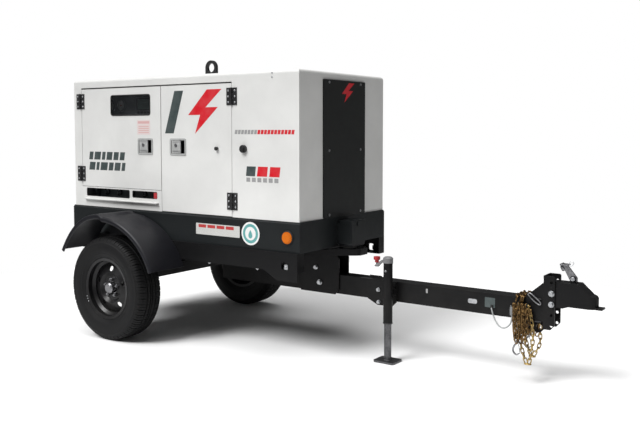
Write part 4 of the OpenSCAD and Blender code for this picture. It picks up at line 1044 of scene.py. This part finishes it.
def make_roof_details():
    bm = bmesh.new()
    for side in (-1, 1):
        for z in (1.713, 1.738):
            add_screw(bm, (0.028, side * SIDE_Y, z), (0, side, 0), 0.006)
    for x in (-0.972, -0.828):
        for y in (-0.052, 0.052):
            add_nut(bm, (x, y, ROOF_HIGH.z + 0.008), (0, 0, 1), 0.008)
    finish("roof_screws", bm, "zinc", smooth=50)
    bm = bmesh.new()
    top = ROOF_HIGH.z + 0.0085
    for y in (-0.0115, 0.0115):
        add_weld(bm, [(-0.951, y, top), (-0.849, y, top)])
    finish("lifting_eye_weld", bm, "weld", smooth=60)
    bm = bmesh.new()
    for i in range(8):
        x = FRONT_X - 0.062 - 0.032 * i
        for k in range(25):
            y = -0.288 + 0.024 * k
            add_rod(bm, (x - 0.01, y, ROOF_HIGH.z - 0.006), (x + 0.01, y, ROOF_HIGH.z - 0.006), 0.0013, 6)
    finish("outlet_guard", bm, "zinc", smooth=60)


def make_door_stops():
    for side_name, side in SIDES:
        bm = bmesh.new()
        at = Vector((SEAM_X - 0.124, -side * (SIDE_Y + 0.014), 1.279))
        add_lathe(bm, [(0, 0.0118), (0.003, 0.0118), (0.005, 0.0095), (0.005, 0.006)], at, (0, -side, 0), 24)
        finish("door_stop_" + side_name, bm, "rubber", "door_" + side_name, smooth=50)


def make_front_details():
    bm = bmesh.new()
    for y in (-0.236, 0.236):
        line = [(FRONT_X + 0.0015, y + copysign(0.002, y), 0.858 + 0.0848 * i) for i in range(11)]
        add_tube(bm, line, 0.0022, 8)
    finish("access_panel_seal", bm, "rubber", smooth=60)


def make_lamp_details():
    bm = bmesh.new()
    for side in (-1, 1):
        at = Vector((FRONT_X - 0.08, side * 0.488, 0.755))
        add_lathe(bm, [(0.0, 0.043), (0.004, 0.043), (0.009, 0.0395), (0.009, 0.0368), (0.0, 0.0368)], at,
                  (0, side, 0), 48, closed=True)
        outer, inner = rounded(0.152, 0.076, 0.016), rounded(0.141, 0.065, 0.012)
        add_frame(bm, outer, inner, "rear", (-1.845, side * 0.36, 0.606), -0.004, 0.016)
    finish("lamp_grommets", bm, "rubber", bevel=0.001, smooth=50)
    bm = bmesh.new()
    for side in (-1, 1):
        for step in (-0.056, 0.056):
            add_screw(bm, (-1.865, side * 0.36 + step, 0.606), (-1, 0, 0), 0.0045)
    finish("lamp_screws", bm, "zinc", smooth=50)


make_hinge_details()
make_latch_details()
make_window_seal()
make_roof_details()
make_door_stops()
make_front_details()
make_lamp_details()

# ---- control panel

PANEL_Y = -0.385
OUT = (0, -1, 0)
STUDS = [(-1.6 + 0.13 * i, 0.95) for i in range(5)]
STUD_Y = -0.362


def panel_point(x, z, out=0.0):
    return Vector((x, PANEL_Y - out, z))


def make_gauges():
    faces, marks, needles = bmesh.new(), bmesh.new(), bmesh.new()
    for i in range(3):
        x, z = -1.62 + 0.105 * i, 1.57
        dial = [(0.0058, 0.0355), (0.0066, 0.0355), (0.0066, 0.001)]
        add_lathe(faces, dial, (x, PANEL_Y, z), OUT, 40)
        for k in range(11):
            a = radians(-135 + 27 * k)
            inner, outer = (0.027 if k % 5 else 0.023), 0.0325
            ends = [panel_point(x + r * sin(a), z + r * cos(a), 0.007) for r in (inner, outer)]
            add_rod(marks, ends[0], ends[1], 0.0007, 6)
        a = radians((-60, 20, 75)[i])
        tip = panel_point(x + 0.027 * sin(a), z + 0.027 * cos(a), 0.0085)
        tail = panel_point(x - 0.007 * sin(a), z - 0.007 * cos(a), 0.0085)
        add_rod(needles, tail, tip, 0.0014, 8, 0.0004)
        add_rod(needles, panel_point(x, z, 0.006), panel_point(x, z, 0.0102), 0.004, 16)
    finish("gauge_faces", faces, "dial")
    finish("gauge_marks", marks, "black_plastic")
    finish("gauge_needles", needles, "red_plastic")


def make_display():
    bm = bmesh.new()
    add_plate(bm, rounded(0.15, 0.07, 0.004, (-1.16, 1.575)), "right", (0, PANEL_Y, 0), 0.0095, 0.0112)
    finish("display", bm, "screen", bevel=0.0006)
    bm = bmesh.new()
    for i in range(5):
        add_plate(bm, rounded(0.022, 0.016, 0.003, (-1.226 + 0.033 * i, 1.519)), "right", (0, PANEL_Y, 0),
                  0.0095, 0.0125)
    add_frame(bm, rounded(0.166, 0.086, 0.006), rounded(0.15, 0.07, 0.004), "right",
              (-1.16, PANEL_Y, 1.575), 0.0095, 0.0125)
    finish("display_buttons", bm, "black_plastic", bevel=0.0008)


def make_panel_hardware():
    """Screws, output studs with their collars, the flap of a closed outlet, and signal lamps."""
    bm = bmesh.new()
    for x in (-1.705, -1.34, -0.968):
        for z in (1.03, 1.67):
            add_screw(bm, panel_point(x, z), OUT)
    for x, z in STUDS:
        add_nut(bm, (x, STUD_Y, z), OUT, 0.014)
    for sign in (-1, 1):
        for z in (-0.08, 0.08):
            add_screw(bm, (-1.4 + 0.055 * sign, PANEL_Y - 0.012, 1.17 + z), OUT, 0.005)
    finish("panel_screws", bm, "zinc", smooth=50)
    bm = bmesh.new()
    collar = [(0, 0.026), (0.006, 0.026), (0.008, 0.023), (0.008, 0.0185), (0, 0.0185)]
    for x, z in STUDS:
        add_lathe(bm, collar, (x, STUD_Y + 0.0015, z), OUT, 32, closed=True)
    finish("stud_collars", bm, "black_plastic", smooth=50)
    bm = bmesh.new()
    flap = rounded(0.03, 0.04, 0.004, (-0.981, 0.9535))
    add_plate(bm, flap, "right", (0, -SIDE_Y + 0.004, 0), 0.0, 0.003)
    finish("outlet_flap", bm, "red_plastic", bevel=0.0008)
    bm = bmesh.new()
    dome = [(0, 0.01), (0.003, 0.01), (0.005, 0.0075), (0.009, 0.0065), (0.012, 0.003)]
    for i in range(4):
        add_lathe(bm, dome, panel_point(-1.64 + 0.06 * i, 1.47), OUT, 24)
    finish("panel_lamps", bm, "lamp", smooth=50)


make_gauges()
make_display()
make_panel_hardware()

# ---- engine bay

SHAFT_Z = 1.11
# The middle and radius of each pulley across and up, the crank's first
PULLEYS = (((0.0, SHAFT_Z), 0.052), ((0.115, 1.235), 0.034), ((0.0, 1.29), 0.044))
BELT_X = -0.34
BELT_STARTS = (-180, -60, 60)


def make_belt():
    """The ribbed belt from the crank pulley up to the charging dynamo."""
    line = []
    for start, ((y, z), r) in zip(BELT_STARTS, PULLEYS):
        for a in (radians(start + 12 * k) for k in range(9)):
            line.append((BELT_X, y + r * cos(a), z + r * sin(a)))
    bm = bmesh.new()
    centre = Vector((BELT_X, 0.04, 1.205))
    rings = []
    for point in smooth_path(line + line[:1], 3)[:-1]:
        out = (point - centre).normalized()
        rings.append([point + Vector((w, 0, 0)) + out * h for w, h in
                      ((-0.01, 0), (0.01, 0), (0.01, 0.004), (-0.01, 0.004))])
    skin_rings(bm, rings, closed_path=True)
    finish("belt", bm, "rubber", smooth=40)
    bm = bmesh.new()
    for (y, z), r in PULLEYS[1:]:
        profile = [(-0.014, r * 0.4), (-0.012, r + 0.002), (-0.01, r - 0.001), (0.01, r - 0.001),
                   (0.012, r + 0.002), (0.014, r * 0.4)]
        add_lathe(bm, profile, (BELT_X, y, z), (1, 0, 0), 40)
        add_rod(bm, (BELT_X - 0.018, y, z), (BELT_X + 0.022, y, z), 0.01, 6)
    finish("pulleys", bm, "zinc", smooth=40)


HOSES = (
    (0.019, [(-0.4, 0.06, 1.352), (-0.392, 0.064, 1.4), (-0.35, 0.08, 1.448),
             (-0.28, 0.12, 1.458), (-0.216, 0.15, 1.452)]),
    (0.019, [(-0.42, -0.112, 0.935), (-0.4, -0.18, 0.905), (-0.33, -0.262, 0.89),
             (-0.25, -0.262, 0.88), (-0.216, -0.22, 0.876)]),
    (0.026, [(-0.559, -0.15, 1.52), (-0.52, -0.146, 1.518), (-0.49, -0.11, 1.48),
             (-0.484, -0.06, 1.43), (-0.484, -0.04, 1.402)]),
)


def make_hoses():
    """The two water hoses and the air hose, with a worm clamp at each end."""
    hoses, clamps = bmesh.new(), bmesh.new()
    for radius, points in HOSES:
        line = smooth_path(points, 6)
        add_tube(hoses, line, radius, 20)
        for first, second in ((line[1], line[2]), (line[-3], line[-2])):
            band = (second - first).normalized() * 0.008
            add_rod(clamps, first, first + band, radius + 0.0016, 32)
    finish("hoses", hoses, "rubber", smooth=60)
    finish("hose_clamps", clamps, "zinc", smooth=40)


def make_fuel_lines():
    bm = bmesh.new()
    for i in range(4):
        x = -0.76 + 0.11 * i
        line = [(-0.6, -0.152, 1.18), (-0.6 + 0.02 * i, -0.166, 1.23), (x, -0.16, 1.3),
                (x, -0.11, 1.364), (x, -0.08, 1.372)]
        add_tube(bm, smooth_path(line, 6), 0.0032, 10)
        add_rod(bm, (x, -0.08, 1.35), (x, -0.08, 1.386), 0.011, 6)
    finish("injector_lines", bm, "latch_steel", smooth=60)
    bm = bmesh.new()
    profile = [(0, 0.03), (0.006, 0.038), (0.08, 0.04), (0.09, 0.036), (0.094, 0.02)]
    add_lathe(bm, profile, (-0.56, 0.152, 1.07), (0, 1, 0), 40)
    finish("oil_filter", bm, "red_plastic", smooth=40)


def make_battery_leads():
    starts = (("red", -0.05, "red_plastic"), ("black", 0.12, "rubber"))
    for name, x, look in starts:
        bm = bmesh.new()
        line = [(x, -0.27, 1.064), (x, -0.27, 1.09), (x - 0.03, -0.3, 1.11), (x - 0.11, -0.33, 1.08),
                (-0.33, -0.33, 0.96), (-0.48, -0.27, 0.93), (-0.62, -0.2, 0.97)]
        add_tube(bm, smooth_path(line, 6), 0.0065, 12)
        add_rod(bm, (x, -0.27, 1.048), (x, -0.27, 1.07), 0.014, 20, 0.011)
        finish("battery_lead_" + name, bm, look, smooth=60)
    bm = bmesh.new()
    for i in range(6):
        add_lathe(bm, [(0, 0.012), (0.005, 0.012), (0.007, 0.009)], (-0.04 + 0.038 * i, -0.35, 1.0455),
                  (0, 0, 1), 20)
    add_rod(bm, (-0.092, -0.325, 1.049), (0.162, -0.325, 1.049), 0.005, 10)
    finish("battery_caps", bm, "black_plastic", smooth=50)


def make_engine_bolts():
    bm = bmesh.new()
    for y, z in circle(12, 0.176):
        add_nut(bm, (-0.8405, y, SHAFT_Z + z), (1, 0, 0), 0.008)
    for i in range(7):
        for y in (-0.06, 0.04):
            add_screw(bm, (-0.79 + 0.065 * i, y, 1.4), (0, 0, 1), 0.007)
    for side in (-1, 1):
        for x in (-0.44, -0.75):
            add_nut(bm, (x, side * 0.19, 0.976), (0, 0, 1), 0.014)
    finish("engine_bolts", bm, "zinc", smooth=40)
    bm = bmesh.new()
    add_lathe(bm, [(0, 0.03), (0.01, 0.031), (0.016, 0.026), (0.016, 0.01)], (-0.178, -0.12, 1.5),
              (0, 0, 1), 32)
    add_lathe(bm, [(0, 0.024), (0.014, 0.025), (0.02, 0.02)], (-0.7, 0.02, 1.4), (0, 0, 1), 12)
    finish("filler_caps", bm, "black_plastic", smooth=40)


def make_alternator_details():
    bm = bmesh.new()
    for y, z in circle(12):
        under_box = z > 0.6 and abs(y) < 0.75
        if z > -0.6 and not under_box:
            start = Vector((-1.44, 0.189 * y, SHAFT_Z + 0.189 * z))
            add_rod(bm, start, start + Vector((0.52, 0, 0)), 0.006, 8)
    finish("alternator_ribs", bm, "alternator", smooth=50)
    bm = bmesh.new()
    for x in (-1.405, -1.135):
        for y in (-0.125, 0.125):
            add_screw(bm, (x, y, 1.35), (0, 0, 1), 0.006)
    for y, z in circle(8, 0.13):
        add_screw(bm, (-1.5, y, SHAFT_Z + z), (-1, 0, 0), 0.007)
    finish("alternator_screws", bm, "zinc", smooth=50)


make_belt()
make_hoses()
make_fuel_lines()
make_battery_leads()
make_engine_bolts()
make_alternator_details()

# ---- trailer details


def make_jack_details():
    bm = bmesh.new()
    add_lathe(bm, [(-0.003, 0.0292), (0.0, 0.0302), (0.003, 0.0292), (0.003, 0.0262), (-0.003, 0.0262)],
              (JACK.x, JACK.y, 0.2365), (0, 0, 1), 40, closed=True)
    finish("jack_tube_rim", bm, "weld", "jack", smooth=50)
    bm = bmesh.new()
    add_lathe(bm, [(0, 0.006), (0.004, 0.006), (0.005, 0.0035), (0.01, 0.0035), (0.012, 0.002)],
              (JACK.x, JACK.y - 0.028, 0.555), (0, -1, 0), 12)
    finish("jack_grease_nipple", bm, "zinc", "jack", smooth=50)
    bm = bmesh.new()
    ring = [(JACK.x + x, JACK.y + y, 0.0125) for x, y in circle(120, 0.0235)]
    sizes = [0.0035 * (1 + 0.2 * sin(pi * i / 2)) for i in range(120)]
    add_tube(bm, ring, sizes, 8, closed=True)
    # The foot weld shares the jack leg's darkened steel, painted shade.
    finish("jack_foot_weld", bm, "jack_steel_shaded", "jack_leg", smooth=60)


def make_hitch_details():
    bm = bmesh.new()
    for side in (-1, 1):
        y = side * 0.0535
        for z in (0.353, 0.479):
            add_weld(bm, [(1.512, y, z), (1.548, y, z)])
    finish("hitch_welds", bm, "weld", smooth=60)
    bm = bmesh.new()
    corners = [(1.474, -0.06, 0.498), (1.486, -0.0605, 0.507), (1.52, -0.061, 0.484), (1.545, -0.061, 0.461),
               (1.541, -0.0605, 0.449), (1.527, -0.06, 0.453), (1.5, -0.06, 0.472)]
    line = smooth_path(corners + corners[:1], 5)[:-1]
    add_tube(bm, line, 0.0038, 10, closed=True)
    finish("hitch_clip", bm, "latch_steel", smooth=60)


def make_latch_lever_details():
    bm = bmesh.new()
    add_rod(bm, (1.64, -0.021, 0.673), (1.64, 0.021, 0.673), 0.0065, 20)
    add_lathe(bm, [(0, 0.006), (0.004, 0.011), (0.02, 0.0125), (0.028, 0.011), (0.032, 0.006)],
              (1.652, 0, 0.638), (-0.42, 0, 0.9), 24)
    finish("latch_lever_grip", bm, "latch_steel", "coupler_latch", smooth=60)
    bm = bmesh.new()
    ring = [(1.69 + 0.012 * c, 0.01 * s, 0.68 + 0.01 * s) for c, s in circle(40)]
    add_tube(bm, ring, 0.0018, 8, closed=True)
    finish("latch_lever_ring", bm, "zinc", "coupler_latch", smooth=60)
    bm = bmesh.new()
    for side in (-1, 1):
        add_lathe(bm, [(0, 0.0115), (0.003, 0.0115), (0.0045, 0.008)], (1.704, side * 0.0172, 0.6),
                  (0, side, 0), 24)
    finish("latch_pin_heads", bm, "zinc", "coupler_latch", smooth=50)


def make_frame_welds():
    bm = bmesh.new()
    for side in (-1, 1):
        for x in (-1.11, -0.91):
            add_weld(bm, [(x, side * 0.4335, 0.5505), (x, side * 0.4, 0.5505)])
        add_weld(bm, [(0.395, side * 0.0515, 0.4775), (0.48, side * 0.0515, 0.4775)])
    finish("frame_welds", bm, "weld", smooth=60)


def make_tie_down_plates():
    for name, side in SIDES:
        bm = bmesh.new()
        plate = rounded(0.026, 0.03, 0.004, (side * 0.148, 0.58))
        add_plate(bm, plate, name, (0, -side * 0.5022, 0), 0.0, 0.003)
        add_screw(bm, (0.148, -side * 0.5052, 0.58), (0, -side, 0), 0.008)
        finish("tie_down_plate_" + name, bm, "zinc")


FUEL_CAP = (-0.2, 0.77)


def make_base_details():
    bm = bmesh.new()
    for side in (-1, 1):
        for x in (-1.7, -1.3, -0.9, -0.5, -0.1):
            add_nut(bm, (x, side * 0.47, 0.5495), (0, 0, -1), 0.01)
    finish("base_bolts", bm, "zinc", smooth=40)
    bm = bmesh.new()
    for x, z in circle(24, 0.044):
        at = Vector((FUEL_CAP[0] + x, 0.514, FUEL_CAP[1] + z))
        add_rod(bm, at, at + Vector((0, 0.018, 0)), 0.0022, 6)
    finish("fuel_cap_grips", bm, "black_plastic", "fuel_cap", smooth=50)


make_tie_down_plates()
make_jack_details()
make_hitch_details()
make_latch_lever_details()
make_frame_welds()
make_base_details()

# ---- floor, light


FLOOR_X, FLOOR_Y = 3.9, 3.1


def make_floor():
    """An oval of white paper that burns out into the white backdrop."""
    bm = bmesh.new()
    rings = [[Vector((share * (FLOOR_X * c), share * (FLOOR_Y * s), 0)) for c, s in circle(96)]
             for share in (0.2, 0.6, 1.0)]
    skin_rings(bm, rings, caps=False)
    bm.faces.new(bm.verts[:96])
    mesh = bpy.data.meshes.new("floor")
    bm.to_mesh(mesh)
    bm.free()
    material, tree, shader, place = start_material("floor_paper", (0.92, 0.92, 0.92), 0.85)
    cloud = noise(tree, place, 1.5)
    wire(tree, shader, Base_Color=blend_colours(tree, cloud, (0.9, 0.9, 0.9), (0.93, 0.93, 0.93)))
    mesh.materials.append(material)
    new_object("floor", mesh)


def add_sun(name, direction, strength, spread):
    data = bpy.data.lights.new(name, "SUN")
    data.energy = strength
    data.angle = radians(spread)
    new_object(name, data).rotation_euler = Vector(direction).to_track_quat("-Z", "Y").to_euler()


ROOM_LIGHT = 0.13
BACKDROP = 1.0


def make_world():
    """Soft grey surroundings behind which the backdrop stays as white as the floor."""
    world = bpy.data.worlds.new("studio")
    bpy.context.scene.world = world
    world.use_nodes = True
    tree = world.node_tree
    soft = tree.nodes["Background"]
    soft.inputs["Strength"].default_value = ROOM_LIGHT
    soft.inputs["Color"].default_value = (1, 1, 1, 1)
    white = add_node(tree, "Background", {"Strength": BACKDROP, "Color": (1, 1, 1, 1)})
    ray = add_node(tree, "LightPath")
    mix = add_node(tree, "MixShader", Fac=ray.outputs["Is Camera Ray"])
    tree.links.new(soft.outputs[0], mix.inputs[1])
    tree.links.new(white.outputs[0], mix.inputs[2])
    tree.links.new(mix.outputs[0], tree.nodes["World Output"].inputs["Surface"])


def make_light():
    make_world()
    add_sun("key", (0.22, 0.62, -0.72), 3.05, 26)
    add_sun("top", (0.0, 0.1, -1.0), 1.9, 60)
    bpy.context.scene.view_settings.view_transform = "Standard"


make_floor()
make_light()
